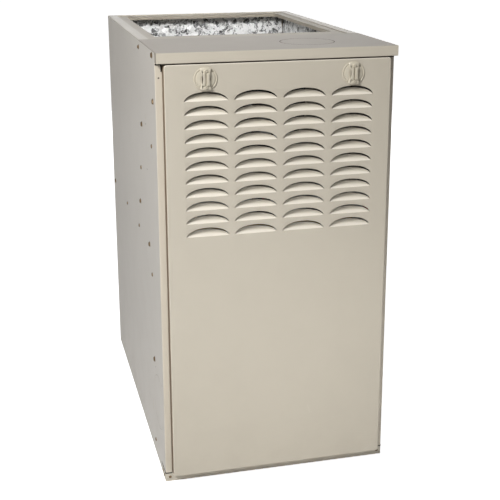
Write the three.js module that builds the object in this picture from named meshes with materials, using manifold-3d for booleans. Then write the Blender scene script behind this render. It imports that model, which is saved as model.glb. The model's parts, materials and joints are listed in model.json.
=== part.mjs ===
// A forced air gas furnace, built as separate pieces: a folded steel cabinet with a louvred
// lift-off door, a double-inlet blower under a shelf, clamshell heat cells above it, and the
// burners, gas train, draft inducer and safety switches in the front compartment.
//
// Millimetres. +X is to the right seen from the front, +Y to the back, +Z up. The origin lies
// under the middle of the whole footprint, door and knobs included. A "depth" is a distance
// behind the front plane of the casing.

import * as THREE from 'three';
import { mergeVertices } from 'three/addons/utils/BufferGeometryUtils.js';
import Module from 'manifold-3d';

const wasm = await Module();
wasm.setup();

// ---- Driving dimensions ----------------------------------------------------------------

// Cabinet
const CASING_WIDTH = 450;
const CASING_DEPTH = 730;
const CASING_HEIGHT = 846;
const SHEET = 1.2; // cabinet steel
const GAP = 0.3; // between pieces that touch
const FRONT_FLANGE = 13;
const FRONT_RETURN = 8;
const REAR_FLANGE = 14;
const TOP_FLANGE = 20;
const BOTTOM_FLANGE = 22;
const RAIL_HEIGHT = 17; // front base rail
const RAIL_RETURN = 40; // how far the rail runs back along each side
const RAIL_SLOT = 2; // open slot between rail and side panel
const CAP_DEPTH = 200; // top cap, behind the casing front
const CAP_LIP = 19;
const HEADER_DROP = 38; // front header rail, below the top
const HEADER_SHELF = 30;
const SHELF_HEIGHT = 445; // top face of the blower shelf's underside sheet
const SHELF_SETBACK = 20;
const CELL_PANEL_DEPTH = 235;
const LINER = 12; // foil-faced insulation
const COLLAR_RIM = 20; // plenum collar, seen inside the top flanges
const COLLAR_LIP = 8;
const COLLAR_FRONT = 52; // collar strip between cap and outlet
const SIDE_KNOCKOUT_RADIUS = 55;
const SIDE_KNOCKOUT_DEPTH = 63;
const SIDE_KNOCKOUT_HEIGHT = 142;

// Vent knockout in the cap
const VENT_RADIUS = 52;
const VENT_X = 81;
const VENT_DEPTH = 84;

// Outer door
const DOOR_PROUD = 20;
const DOOR_MARGIN = 13; // casing edge to door edge, each side
const DOOR_GAP = 2.5; // under the cap lip and over the base rail
const LOUVRE_COLUMNS = 4;
const LOUVRE_ROWS = 11;
const LOUVRE_WIDTH = 80;
const LOUVRE_RISE = 17;
const LOUVRE_PRESS = 6; // how far a louvre tongue is pressed in
const LOUVRE_SLIT = 2.5; // open slit over the tongue
const LOUVRE_COLUMN_PITCH = 91.5;
const LOUVRE_ROW_PITCH = 25.2;
const LOUVRE_TOP = 66; // door top to the foot of the first row
const LATCH_SPREAD = 138; // latch from the middle
const LATCH_DROP = 26; // latch below the door top

// Latches
const KNOB_PROUD = 12;
const KNOB_LENGTH = 39;
const KNOB_END = 20;
const KNOB_WAIST = 12;
const ESCUTCHEON_RADIUS = 21.5;
const ESCUTCHEON_THICKNESS = 3.2;
const SPINDLE_RADIUS = 5;
const CAM_REACH = 27;
const CAM_WIDTH = 13;
const CAM_THICKNESS = 2.5;

// Blower
const WHEEL_RADIUS = 127;
const BLADE_DEPTH = 20; // wheel rim to its bore
const WHEEL_WIDTH = 203;
const WHEEL_BLADES = 20;
const WHEEL_SIDE_ROOM = 15; // wheel end to housing side
const SCROLL_CLEARANCE = 10; // wheel rim to the scroll's tongue
const SCROLL_GROWTH = 49; // how much wider the scroll is at its end
const BLOWER_FLOOR_ROOM = 49; // floor to the widest reach of the scroll
const BLOWER_REAR_ROOM = 114; // outlet's rear wall to the casing back
const SCROLL_RIM = 5; // side plate beyond the wrap
const INLET_STEP = 3; // inlet inside the wheel's bore
const MOTOR_RADIUS = 70;
const MOTOR_LENGTH = 112;
const MOTOR_START = 48; // from the wheel's middle
const SHAFT_RADIUS = 6.35;

// Heat cells and collector
const CELLS = 3;
const CELL_PITCH = 104;
const CELL_HALF_WIDTH = 30;
const CELL_HALF_HEIGHT = 21;
const CELL_WALL = 2; // also the seam, which is two sheets
const CELL_TAPER = 0.7; // last pass against the first
const CELL_TURN_RADIUS = 36;
const CELL_REAR_ROOM = 140; // last turn's centre to the casing back
const CELL_FRONT_TURN = 95; // front turn's centre behind the cell panel
const BURNER_RISE = 55; // burner axis above the shelf
const COLLECTOR_DEPTH = 60;
const COLLECTOR_MARGIN = 31; // outermost cell to the collector's end
const COLLECTOR_HALF_HEIGHT = 30;

// Draft inducer
const INDUCER_X = 10;
const INDUCER_DROP = 16; // inducer axis below the cells' outlets
const INDUCER_WIDTH = 54;
const INDUCER_WALL = 2.5;
const INDUCER_WHEEL_RADIUS = 50;
const INDUCER_CLEARANCE = 8; // wheel rim to the scroll's tongue
const INDUCER_GROWTH = 22; // how much wider the scroll is at its end
const INDUCER_MOTOR_RADIUS = 42;
const INDUCER_MOTOR_LENGTH = 66;
const INDUCER_SHAFT_RADIUS = 4;
const VENT_COLLAR_RADIUS = 46;
const VENT_COLLAR_HEIGHT = 24;
const VENT_COLLAR_DEPTH = 96;
const VENT_COLLAR_ROOM = 8; // collar top to the cap

// Burners and gas train
const BURNER_START = 80; // bell mouth depth
const BURNER_END = 225;
const BURNER_THROAT_RADIUS = 11;
const BURNER_HEAD_RADIUS = 20;
const BURNER_WALL = 1.6;
const BRACKET_FRONT = 120;
const BRACKET_REAR = 205;
const BRACKET_DROP = 38; // bracket base below the burner axis
const BRACKET_RISE = 46;
const BRACKET_MARGIN = 60; // outermost burner to the bracket's end
const MANIFOLD_RADIUS = 10.5;
const MANIFOLD_DEPTH = 58;
const EAR_ROOM = 30; // outermost burner to the manifold's ear
const VALVE_WIDTH = 48;
const VALVE_DEPTH = 54;
const VALVE_HEIGHT = 86;
const VALVE_WALL_ROOM = 9;
const GAS_HOLE_RADIUS = 20;
const GAS_HOLE_RISE = 160; // above the shelf

// Switches and controls
const SWITCH_BUTTON_RADIUS = 4;
const DOOR_SWITCH_X = 132;
const DOOR_SWITCH_RISE = 18; // plunger axis above the shelf
const DOOR_SWITCH_TRAVEL = 6;
const RESET_TRAVEL = 1.5;
const CONTROL_DEPTH = 62;
const CONTROL_HEIGHT = 150;

// ---- Derived planes --------------------------------------------------------------------

const HALF = CASING_WIDTH / 2;
const INNER = HALF - SHEET;
const FRONT = -(CASING_DEPTH - DOOR_PROUD - KNOB_PROUD) / 2;
const BACK = FRONT + CASING_DEPTH;
const TOP = CASING_HEIGHT;
const BEND_RADIUS = SHEET / 2;
const UNDER_CAP = TOP - SHEET - GAP;
const SHELF_TOP = SHELF_HEIGHT + SHEET;
const BURNER_AXIS = SHELF_HEIGHT + BURNER_RISE;
const CELL_OUTLET = BURNER_AXIS + 6 * CELL_TURN_RADIUS;
const INDUCER_AXIS = CELL_OUTLET - INDUCER_DROP;
const INDUCER_REAR = CELL_PANEL_DEPTH - GAP - COLLECTOR_DEPTH - GAP;
const INDUCER_FRONT = INDUCER_REAR - INDUCER_WIDTH;
const HOUSING_HALF = WHEEL_WIDTH / 2 + WHEEL_SIDE_ROOM + SHEET;
const WHEEL_BORE_RADIUS = WHEEL_RADIUS - BLADE_DEPTH;
const INLET_RADIUS = WHEEL_BORE_RADIUS - INLET_STEP;
const SCROLL_START_RADIUS = WHEEL_RADIUS + SCROLL_CLEARANCE;
const SCROLL_END_RADIUS = SCROLL_START_RADIUS + SCROLL_GROWTH;
const BLOWER_HEIGHT = BLOWER_FLOOR_ROOM + SCROLL_END_RADIUS;
const BLOWER_Y = BACK - BLOWER_REAR_ROOM - SCROLL_END_RADIUS;
const OUTER_CELL = ((CELLS - 1) / 2) * CELL_PITCH;
const COLLECTOR_HALF_WIDTH = OUTER_CELL + CELL_HALF_WIDTH + COLLECTOR_MARGIN;
const BRACKET_HALF_WIDTH = OUTER_CELL + BRACKET_MARGIN;
const INDUCER_START_RADIUS = INDUCER_WHEEL_RADIUS + INDUCER_CLEARANCE;
const INDUCER_END_RADIUS = INDUCER_START_RADIUS + INDUCER_GROWTH;
const DOOR_HALF = HALF - DOOR_MARGIN;
const DOOR_BOTTOM = RAIL_HEIGHT + DOOR_GAP;
const DOOR_TOP = TOP - CAP_LIP - DOOR_GAP;
const LATCH_HEIGHT = DOOR_TOP - LATCH_DROP;
const LIP_INNER = HALF - FRONT_FLANGE - SHEET / 2; // inner face of the side panels' front lips
const OUTLET_HALF = HALF - TOP_FLANGE - COLLAR_RIM;
const OUTLET_FRONT = CAP_DEPTH + COLLAR_FRONT;
const OUTLET_BACK = CASING_DEPTH - TOP_FLANGE - COLLAR_RIM;
const VALVE_X = INNER - VALVE_WALL_ROOM - VALVE_WIDTH / 2;
const DEGREE = Math.PI / 180;
const ROUND_FIT = 12; // sides shared by a round piece and the hole or bore it sits in
const GRID = 1024; // steps in a millimetre: faces meant to be level come out exactly level

/** The Y of a depth behind the casing front. */
const at = (depth) => FRONT + depth;

// ---- Finishes --------------------------------------------------------------------------

const FINISHES = {
  beigePaint: { color: 0xc3b9a8, roughness: 0.42, metalness: 0.0 },
  sidePaint: { color: 0xb3aca0, roughness: 0.5, metalness: 0.0 },
  capPaint: { color: 0xaaa091, roughness: 0.48, metalness: 0.0 },
  knobPlastic: { color: 0xc9bfae, roughness: 0.35, metalness: 0.0 },
  foil: { color: 0xc8c8c6, roughness: 0.25, metalness: 0.9 },
  galvanised: { color: 0xa9adaf, roughness: 0.45, metalness: 0.85 },
  aluminised: { color: 0x9c9b97, roughness: 0.5, metalness: 0.8 },
  blackPaint: { color: 0x222222, roughness: 0.5, metalness: 0.0 },
  castAluminium: { color: 0xb8babc, roughness: 0.4, metalness: 0.9 },
  brass: { color: 0xb08a46, roughness: 0.35, metalness: 0.9 },
  steelShaft: { color: 0xbfc1c3, roughness: 0.25, metalness: 1.0 },
  blackPlastic: { color: 0x1d1d1f, roughness: 0.45, metalness: 0.0 },
  redPlastic: { color: 0xa81e1c, roughness: 0.4, metalness: 0.0 },
  whitePlastic: { color: 0xe4e2dc, roughness: 0.4, metalness: 0.0 },
  ceramic: { color: 0xded8cb, roughness: 0.7, metalness: 0.0 },
  circuitBoard: { color: 0x2c5a3a, roughness: 0.5, metalness: 0.0 },
  rubber: { color: 0x2a2a2a, roughness: 0.8, metalness: 0.0 },
  copperWinding: { color: 0x8f5a32, roughness: 0.4, metalness: 0.7 },
};

// ---- Solids ----------------------------------------------------------------------------

/** A closed geometry as a solid, on a fine grid, with shared vertices and no flat triangles. */
function solid(geometry) {
  const bare = new THREE.BufferGeometry();
  const snapped = geometry.attributes.position.array.map((v) => Math.round(v * GRID) / GRID);
  bare.setAttribute('position', new THREE.BufferAttribute(snapped, 3));
  if (geometry.index) bare.setIndex(geometry.index);
  const welded = mergeVertices(bare, 1e-4);
  const index = Array.from(welded.index.array);
  const kept = [];
  for (let i = 0; i < index.length; i += 3) {
    const [a, b, c] = index.slice(i, i + 3);
    if (a !== b && b !== c && c !== a) kept.push(a, b, c);
  }
  return new wasm.Manifold(new wasm.Mesh({
    numProp: 3,
    vertProperties: new Float32Array(welded.attributes.position.array),
    triVerts: new Uint32Array(kept),
  }));
}

const join = (first, ...others) => others.flat().reduce((whole, next) => whole.add(next), first);
const cut = (first, ...others) => others.flat().reduce((rest, next) => rest.subtract(next), first);

/** The surface of a solid as a geometry. */
function surface(shape) {
  const mesh = shape.getMesh();
  const geometry = new THREE.BufferGeometry();
  geometry.setAttribute('position', new THREE.BufferAttribute(mesh.vertProperties, 3));
  geometry.setIndex(new THREE.BufferAttribute(mesh.triVerts, 1));
  return geometry;
}

const placed = (shape, matrix) => solid(surface(shape).applyMatrix4(matrix));

/** Local axes that lay an outline in the plane across `axis`: across x it is drawn in (y, z). */
const PLANES = {
  x: new THREE.Matrix4().makeBasis(
    new THREE.Vector3(0, 1, 0), new THREE.Vector3(0, 0, 1), new THREE.Vector3(1, 0, 0)),
  y: new THREE.Matrix4().makeBasis(
    new THREE.Vector3(1, 0, 0), new THREE.Vector3(0, 0, 1), new THREE.Vector3(0, -1, 0)),
  z: new THREE.Matrix4(),
};

/** A solid from an outline across an axis, between two places along it. */
function extrude(outline, axis, from, to, curveSegments = 8) {
  const shape = outline instanceof THREE.Shape ? outline : new THREE.Shape(outline);
  const settings = { depth: to - from, bevelEnabled: false, curveSegments };
  const geometry = new THREE.ExtrudeGeometry(shape, settings);
  geometry.applyMatrix4(PLANES[axis]);
  const start = axis === 'y' ? to : from;
  return solid(geometry.translate(...along(axis, start)));
}

/** A vector of one length along an axis. */
function along(axis, length) {
  return ['x', 'y', 'z'].map((name) => (name === axis ? length : 0));
}

/** A rectangular solid between two places on each axis. */
function block([x0, x1], [y0, y1], [z0, z1]) {
  const box = new THREE.BoxGeometry(x1 - x0, y1 - y0, z1 - z0);
  return solid(box.translate((x0 + x1) / 2, (y0 + y1) / 2, (z0 + z1) / 2));
}

/** Points of a circle or an arc in an outline. */
function arcPoints([u, v], radius, steps, from = 0, to = 2 * Math.PI) {
  const count = to - from === 2 * Math.PI ? steps : steps + 1;
  return Array.from({ length: count }, (_, i) => {
    const angle = from + ((to - from) * i) / steps;
    return new THREE.Vector2(u + radius * Math.cos(angle), v + radius * Math.sin(angle));
  });
}

/** A round bar along an axis. */
const rod = (axis, centre, radius, from, to, sides = ROUND_FIT) =>
  extrude(arcPoints(centre, radius, sides), axis, from, to);

/** A solid turned about an axis through `centre`, from a profile of [radius, place] points. */
function revolve(profile, axis, [u, v], sides = 16) {
  const geometry = new THREE.LatheGeometry(profile.map((p) => new THREE.Vector2(...p)), sides);
  if (axis === 'x') geometry.rotateZ(-Math.PI / 2).translate(0, u, v);
  if (axis === 'y') geometry.translate(u, 0, v);
  if (axis === 'z') geometry.rotateX(Math.PI / 2).translate(u, v, 0);
  return solid(geometry);
}

/** A rectangle with round corners, as an outline. */
function roundedRectangle([u0, u1], [v0, v1], radius, steps = 2) {
  const quarter = Math.PI / 2;
  return [
    ...arcPoints([u1 - radius, v0 + radius], radius, steps, -quarter, 0),
    ...arcPoints([u1 - radius, v1 - radius], radius, steps, 0, quarter),
    ...arcPoints([u0 + radius, v1 - radius], radius, steps, quarter, 2 * quarter),
    ...arcPoints([u0 + radius, v0 + radius], radius, steps, 2 * quarter, 3 * quarter),
  ];
}

/** A plate in an outline, with a window in it. */
function framed(outline, window) {
  const shape = new THREE.Shape(outline);
  shape.holes.push(new THREE.Path(window));
  return shape;
}

/** A fold line with each inner corner cut across by a small bend. */
function bends(line, radius) {
  const path = [line[0]];
  for (let i = 1; i < line.length - 1; i += 1) {
    const into = line[i].clone().sub(line[i - 1]).normalize();
    const away = line[i + 1].clone().sub(line[i]).normalize();
    const reach = radius * Math.tan(Math.acos(THREE.MathUtils.clamp(into.dot(away), -1, 1)) / 2);
    path.push(line[i].clone().addScaledVector(into, -reach));
    path.push(line[i].clone().addScaledVector(away, reach));
  }
  path.push(line[line.length - 1]);
  return path;
}

/** The outline of sheet metal folded along a centre line. */
function folded(line, thickness = SHEET, radius = BEND_RADIUS) {
  const points = line.map((p) => (p instanceof THREE.Vector2 ? p : new THREE.Vector2(...p)));
  const path = radius > 0 ? bends(points, radius) : points;
  const sides = [[], []];
  path.forEach((point, i) => {
    const before = path[Math.max(i - 1, 0)];
    const after = path[Math.min(i + 1, path.length - 1)];
    const into = (i > 0 ? point.clone().sub(before) : after.clone().sub(point)).normalize();
    const away = (i < path.length - 1 ? after.clone().sub(point) : into.clone()).normalize();
    const across = new THREE.Vector2(-into.y - away.y, into.x + away.x).normalize();
    const reach = thickness / 2 / across.dot(new THREE.Vector2(-into.y, into.x));
    sides[0].push(point.clone().addScaledVector(across, reach));
    sides[1].push(point.clone().addScaledVector(across, -reach));
  });
  return [...sides[0], ...sides[1].reverse()];
}

/** An outline mirrored to the left (-1) or kept on the right (+1). */
const sided = (side, outline) => outline.map((p) => new THREE.Vector2(side * p.x, p.y));

/** Two places in rising order, mirrored to a side. */
const span = (side, a, b) => (side > 0 ? [a, b] : [-b, -a]);

/**
 * A pressed tray across an axis: a face at `face`, and walls that run to `rim`. Its outer edges
 * and corners are round.
 */
function tray(
  axis, [u0, u1], [v0, v1], face, rim,
  { corner = 4, edge = 1.5, wall = SHEET, bevelSegments = 1 } = {},
) {
  const towards = Math.sign(rim - face);
  const shell = new THREE.ExtrudeGeometry(
    new THREE.Shape(roundedRectangle([u0, u1], [v0, v1], corner)),
    {
      depth: Math.abs(rim - face),
      bevelThickness: edge,
      bevelSize: edge,
      bevelOffset: -edge,
      bevelSegments,
    },
  );
  shell.applyMatrix4(PLANES[axis]);
  const flipped = axis === 'y' ? -towards : towards;
  const base = flipped > 0 ? face + towards * edge : rim + towards * edge;
  const outer = solid(shell.translate(...along(axis, base)));
  const hollow = roundedRectangle([u0 + wall, u1 - wall], [v0 + wall, v1 - wall], corner - wall);
  const far = rim + towards * 10 * edge;
  const [a, b] = [face + towards * wall, far].sort((p, q) => p - q);
  const beyond = roundedRectangle([u0 - 1, u1 + 1], [v0 - 1, v1 + 1], corner);
  const [c, d] = [rim, far].sort((p, q) => p - q);
  return cut(outer, extrude(hollow, axis, a, b), extrude(beyond, axis, c, d));
}

/** A circle scored through a sheet, held by short tabs: the cutters for one knockout. */
function knockout(axis, centre, radius, from, to, { tabs = 3, start = 0, steps = 18 } = {}) {
  const score = 0.9;
  const tab = 5 / radius;
  return Array.from({ length: tabs }, (_, i) => {
    const a = start + (2 * Math.PI * i) / tabs + tab / 2;
    const b = start + (2 * Math.PI * (i + 1)) / tabs - tab / 2;
    const sweep = Math.ceil(steps / tabs);
    const outer = arcPoints(centre, radius + score / 2, sweep, a, b);
    const inner = arcPoints(centre, radius - score / 2, sweep, a, b).reverse();
    return extrude([...outer, ...inner], axis, from, to);
  });
}

/** A tube through rings of points, closed by flat ends. */
function loft(rings) {
  const sides = rings[0].length;
  const positions = rings.flat().flatMap((p) => [p.x, p.y, p.z]);
  const index = [];
  for (let ring = 0; ring < rings.length - 1; ring += 1) {
    for (let i = 0; i < sides; i += 1) {
      const a = ring * sides + i;
      const b = ring * sides + ((i + 1) % sides);
      index.push(a, b, a + sides, b, b + sides, a + sides);
    }
  }
  const last = (rings.length - 1) * sides;
  for (let i = 1; i < sides - 1; i += 1) {
    index.push(0, i + 1, i, last, last + i, last + i + 1);
  }
  const geometry = new THREE.BufferGeometry();
  geometry.setAttribute('position', new THREE.Float32BufferAttribute(positions, 3));
  geometry.setIndex(index);
  return solid(geometry);
}

/** A named mesh of one solid in one finish. */
function piece(name, shape, finish) {
  const geometry = surface(shape);
  geometry.computeVertexNormals();
  const part = new THREE.Mesh(geometry, new THREE.MeshStandardMaterial(FINISHES[finish]));
  part.name = name;
  return part;
}

// ---- Cabinet ---------------------------------------------------------------------------

/** A side of the cabinet: one sheet folded at the front, back, top and bottom. */
function sidePanel(side) {
  const plan = folded([
    [HALF - FRONT_FLANGE, at(FRONT_RETURN)],
    [HALF - FRONT_FLANGE, at(SHEET / 2)],
    [HALF - SHEET / 2, at(SHEET / 2)],
    [HALF - SHEET / 2, BACK - SHEET / 2],
    [HALF - REAR_FLANGE, BACK - SHEET / 2],
  ]);
  const topFold = folded([
    [HALF - TOP_FLANGE, TOP - SHEET / 2],
    [HALF - SHEET / 2, TOP - SHEET / 2],
    [HALF - SHEET / 2, TOP - TOP_FLANGE / 2],
  ]);
  const slotTop = RAIL_HEIGHT + RAIL_SLOT;
  const wall = extrude(sided(side, plan), 'z', 0, UNDER_CAP);
  const top = extrude(sided(side, topFold), 'y', at(CAP_DEPTH + GAP), BACK - SHEET - GAP);
  const foot = block(
    span(side, HALF - BOTTOM_FLANGE, HALF - SHEET / 2),
    [at(RAIL_RETURN + RAIL_SLOT), BACK - SHEET / 2],
    [0, SHEET],
  );
  const corner = block(
    span(side, HALF - 2 * FRONT_FLANGE, HALF + 1),
    [FRONT - 1, at(RAIL_RETURN + RAIL_SLOT)],
    [-1, slotTop],
  );
  const skin = span(side, INNER - 1, HALF + 1);
  return cut(join(wall, top, foot), corner, sideOpenings(side, skin));
}

/** The gas entry on the right; on the left a scored service entry and two bracket slots. */
function sideOpenings(side, skin) {
  if (side > 0) {
    const centre = [at(MANIFOLD_DEPTH), SHELF_HEIGHT + GAS_HOLE_RISE];
    return [rod('x', centre, GAS_HOLE_RADIUS, ...skin)];
  }
  const slots = [{ depth: 140, low: 86, high: 111 }, { depth: 128, low: 700, high: 712 }];
  const service = knockout(
    'x', [at(SIDE_KNOCKOUT_DEPTH), SIDE_KNOCKOUT_HEIGHT], SIDE_KNOCKOUT_RADIUS, ...skin,
    { tabs: 2, start: 55 * DEGREE, steps: 14 },
  );
  return [
    ...service,
    ...slots.map(({ depth, low, high }) => block(skin, [at(depth), at(depth + 2)], [low, high])),
  ];
}

/** The back sheet, inside the side panels' rear flanges, with its own flange at the top. */
function backPanel() {
  const section = folded([
    [BACK - TOP_FLANGE, TOP - SHEET / 2],
    [BACK - GAP - 1.5 * SHEET, TOP - SHEET / 2],
    [BACK - GAP - 1.5 * SHEET, 2 * SHEET],
  ]);
  const sheet = extrude(section, 'x', -(INNER - GAP), INNER - GAP);
  const mitres = [-1, 1].map((side) => block(
    span(side, HALF - TOP_FLANGE - GAP, HALF),
    [BACK - TOP_FLANGE - 1, BACK],
    [UNDER_CAP - SHEET, TOP + 1],
  ));
  return cut(sheet, mitres);
}

/** The floor: flush underneath, with joggled edges that lie on the bottom flanges. */
function bottomClosurePanel() {
  const high = 1.5 * SHEET + GAP;
  const low = SHEET / 2;
  const edge = INNER - 2;
  const step = HALF - BOTTOM_FLANGE - SHEET;
  const section = folded([
    [-edge, high], [-step, high], [-(step - 3), low], [step - 3, low], [step, high], [edge, high],
  ], SHEET, 0);
  const front = at(RAIL_RETURN + RAIL_SLOT + 2);
  return extrude(section, 'y', front, BACK - 2 * SHEET - 3 * GAP);
}

/** The rail across the foot of the front, wrapped round both corners. */
function frontBaseRail() {
  const centre = HALF - SHEET / 2;
  const plan = folded([
    [-centre, at(RAIL_RETURN)], [-centre, at(SHEET / 2)],
    [centre, at(SHEET / 2)], [centre, at(RAIL_RETURN)],
  ]);
  const ledge = block(
    [-(LIP_INNER - GAP), LIP_INNER - GAP],
    [at(SHEET / 2), at(FRONT_FLANGE)],
    [RAIL_HEIGHT - SHEET, RAIL_HEIGHT],
  );
  const foot = block([-centre, centre], [at(SHEET / 2), at(RAIL_RETURN)], [0, SHEET]);
  return join(extrude(plan, 'z', 0, RAIL_HEIGHT), ledge, foot);
}

/** The rail across the head of the front: the latches' cams turn up behind it. */
function frontHeaderRail() {
  const section = folded([
    [at(SHEET / 2), TOP - HEADER_DROP],
    [at(SHEET / 2), UNDER_CAP - GAP - SHEET / 2],
    [at(HEADER_SHELF), UNDER_CAP - GAP - SHEET / 2],
  ]);
  return extrude(section, 'x', -(LIP_INNER - GAP), LIP_INNER - GAP);
}

/** The cap over the front compartment, with its folded lip and the scored vent knockout. */
function topCap() {
  const lipFace = FRONT - DOOR_PROUD + SHEET / 2;
  const section = folded([
    [at(CAP_DEPTH), TOP - SHEET / 2], [lipFace, TOP - SHEET / 2],
    [lipFace, TOP - CAP_LIP + SHEET / 2], [lipFace + 7, TOP - CAP_LIP + SHEET / 2],
  ]);
  const sheet = extrude(section, 'x', -HALF, HALF);
  const ends = [-1, 1].map((side) => block(
    span(side, INNER, HALF),
    [FRONT - DOOR_PROUD + SHEET / 2, FRONT - GAP],
    [TOP - CAP_LIP + SHEET / 2, TOP - SHEET / 2],
  ));
  const tabs = [-1, 1].map((side) => block(
    span(side, INNER - GAP - SHEET, INNER - GAP),
    [at(HEADER_SHELF + SHEET), at(CAP_DEPTH - FRONT_FLANGE)],
    [TOP - CAP_LIP - SHEET, TOP - SHEET / 2],
  ));
  const vent = [VENT_X, at(VENT_DEPTH)];
  const pryTab = [VENT_X + VENT_RADIUS - 12, at(VENT_DEPTH - 14)];
  const scores = [
    ...knockout('z', vent, VENT_RADIUS, TOP - 3, TOP + 1, { tabs: 3, start: 20 * DEGREE, steps: 18 }),
    ...knockout('z', pryTab, 8, TOP - 3, TOP + 1, { tabs: 2, start: 0, steps: 6 }),
  ];
  return cut(join(sheet, ends, tabs), scores);
}

/** The frame round the supply outlet, with a lip folded down all round the opening. */
function plenumCollar() {
  const outer = roundedRectangle(
    [-(HALF - TOP_FLANGE / 2), HALF - TOP_FLANGE / 2],
    [at(CAP_DEPTH - TOP_FLANGE / 2), at(CASING_DEPTH - TOP_FLANGE / 2)], 2);
  const opening = roundedRectangle(
    [-OUTLET_HALF, OUTLET_HALF], [at(OUTLET_FRONT), at(OUTLET_BACK)], 3);
  const lipOuter = roundedRectangle(
    [-(OUTLET_HALF + SHEET), OUTLET_HALF + SHEET],
    [at(OUTLET_FRONT - SHEET), at(OUTLET_BACK + SHEET)], 3 + SHEET);
  const frame = extrude(framed(outer, opening), 'z', UNDER_CAP - SHEET, UNDER_CAP);
  const lip = extrude(framed(lipOuter, opening), 'z', UNDER_CAP - COLLAR_LIP, UNDER_CAP - SHEET / 2);
  return join(frame, lip);
}

/** A board of insulation against a side wall, with its long edges rolled. */
function sideLiner(side) {
  const inner = INNER - GAP - LINER;
  const [x0, x1] = span(side, inner, INNER - GAP);
  const depths = [at(CELL_PANEL_DEPTH + SHEET + GAP), BACK - 2 * SHEET - 3 * GAP];
  const plan = roundedRectangle([x0, x1], depths, LINER / 3);
  return extrude(plan, 'z', SHELF_TOP + GAP, UNDER_CAP - SHEET - GAP);
}

/** The board of insulation against the back wall, between the side boards. */
function backLiner() {
  const half = INNER - 2 * GAP - LINER;
  const rear = BACK - 2 * SHEET - 3 * GAP;
  const plan = roundedRectangle([-half, half], [rear - LINER, rear], LINER / 3);
  return extrude(plan, 'z', SHELF_TOP + GAP, UNDER_CAP - SHEET - GAP);
}

/** The wall between the burner compartment and the heat cells, with its flame ports. */
function cellPanel() {
  const reach = INNER - GAP - SHEET / 2;
  const rear = at(CELL_PANEL_DEPTH + SHEET / 2);
  const plan = folded([
    [-reach, rear - FRONT_FLANGE], [-reach, rear], [reach, rear], [reach, rear - FRONT_FLANGE],
  ]);
  const sheet = extrude(plan, 'z', SHELF_TOP + GAP, UNDER_CAP - SHEET - GAP);
  const through = [at(CELL_PANEL_DEPTH - 1), at(CELL_PANEL_DEPTH + SHEET + 1)];
  const ports = cellPlaces().flatMap((x) => [
    rod('y', [x, BURNER_AXIS], CELL_HALF_HEIGHT - 4, ...through),
    rod('y', [x, CELL_OUTLET], CELL_HALF_HEIGHT * CELL_TAPER - 4, ...through, 8),
  ]);
  return cut(sheet, ports);
}

/** The shelf that carries the blower below it and the heat cells' compartment above it. */
function blowerShelf() {
  const section = folded([
    [at(SHELF_SETBACK), SHELF_HEIGHT - BOTTOM_FLANGE],
    [at(SHELF_SETBACK), SHELF_HEIGHT + SHEET / 2],
    [BACK - 3 * SHEET - 3 * GAP, SHELF_HEIGHT + SHEET / 2],
    [BACK - 3 * SHEET - 3 * GAP, SHELF_HEIGHT - BOTTOM_FLANGE],
  ]);
  const sheet = extrude(section, 'x', -(INNER - GAP), INNER - GAP);
  const [front, rear] = outletSpan();
  const window = roundedRectangle(
    [-(HOUSING_HALF - 2 * SHEET), HOUSING_HALF - 2 * SHEET], [front + SHEET, rear - SHEET], 3);
  return cut(sheet, extrude(window, 'z', SHELF_HEIGHT - 5, SHELF_HEIGHT + 5));
}

/** A bead pressed into a tray's face across y: what is added in front and cut behind. */
function pressBead(sheet, [u0, u1], [v0, v1], face, height) {
  const radius = (v1 - v0) / 2 - 0.5;
  const raised = roundedRectangle([u0, u1], [v0, v1], radius);
  const hollow = roundedRectangle(
    [u0 + SHEET, u1 - SHEET], [v0 + SHEET, v1 - SHEET], radius - SHEET);
  return cut(
    join(sheet, extrude(raised, 'y', face - height, face + SHEET / 2)),
    extrude(hollow, 'y', face - height + SHEET, face + 2 * SHEET),
  );
}

/** The inner door of the blower compartment: a tray with pressed stiffening beads. */
function blowerAccessPanel() {
  const half = LIP_INNER - 4 * GAP;
  const face = at(FRONT_RETURN - 2);
  const low = RAIL_HEIGHT + GAP;
  const high = SHELF_HEIGHT - 3;
  const panel = tray('y', [-half, half], [low, high], face, at(SHELF_SETBACK - SHEET));
  const beads = 2;
  const pitch = (high - low) / (beads + 1);
  return Array.from({ length: beads }, (_, i) => low + pitch * (i + 1)).reduce(
    (sheet, z) => pressBead(sheet, [-half + 50, half - 50], [z - 9, z + 9], face, 3.5),
    panel,
  );
}

function cabinet() {
  return [
    piece('side_panel_left', sidePanel(-1), 'sidePaint'),
    piece('side_panel_right', sidePanel(1), 'sidePaint'),
    piece('back_panel', backPanel(), 'sidePaint'),
    piece('bottom_closure_panel', bottomClosurePanel(), 'galvanised'),
    piece('front_base_rail', frontBaseRail(), 'beigePaint'),
    piece('front_header_rail', frontHeaderRail(), 'beigePaint'),
    piece('top_cap', topCap(), 'capPaint'),
    piece('plenum_collar', plenumCollar(), 'capPaint'),
    piece('foil_liner_left', sideLiner(-1), 'foil'),
    piece('foil_liner_right', sideLiner(1), 'foil'),
    piece('foil_liner_back', backLiner(), 'foil'),
    piece('cell_panel', cellPanel(), 'aluminised'),
    piece('blower_shelf', blowerShelf(), 'galvanised'),
    piece('blower_access_panel', blowerAccessPanel(), 'galvanised'),
  ];
}

// ---- Outer door and latches ------------------------------------------------------------

/** The outline of a louvre: a flat foot and an arched head, in (x, z). */
function louvreOutline(x, foot, width, rise, skirt = 0) {
  const radius = ((width / 2) ** 2 + rise ** 2) / (2 * rise);
  const half = Math.asin(width / 2 / radius);
  const centre = [x, foot + rise - radius];
  const arch = arcPoints(centre, radius, 4, Math.PI / 2 - half, Math.PI / 2 + half);
  if (skirt === 0) return arch;
  return [
    ...arch,
    new THREE.Vector2(x - width / 2, foot - skirt),
    new THREE.Vector2(x + width / 2, foot - skirt),
  ];
}

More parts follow.
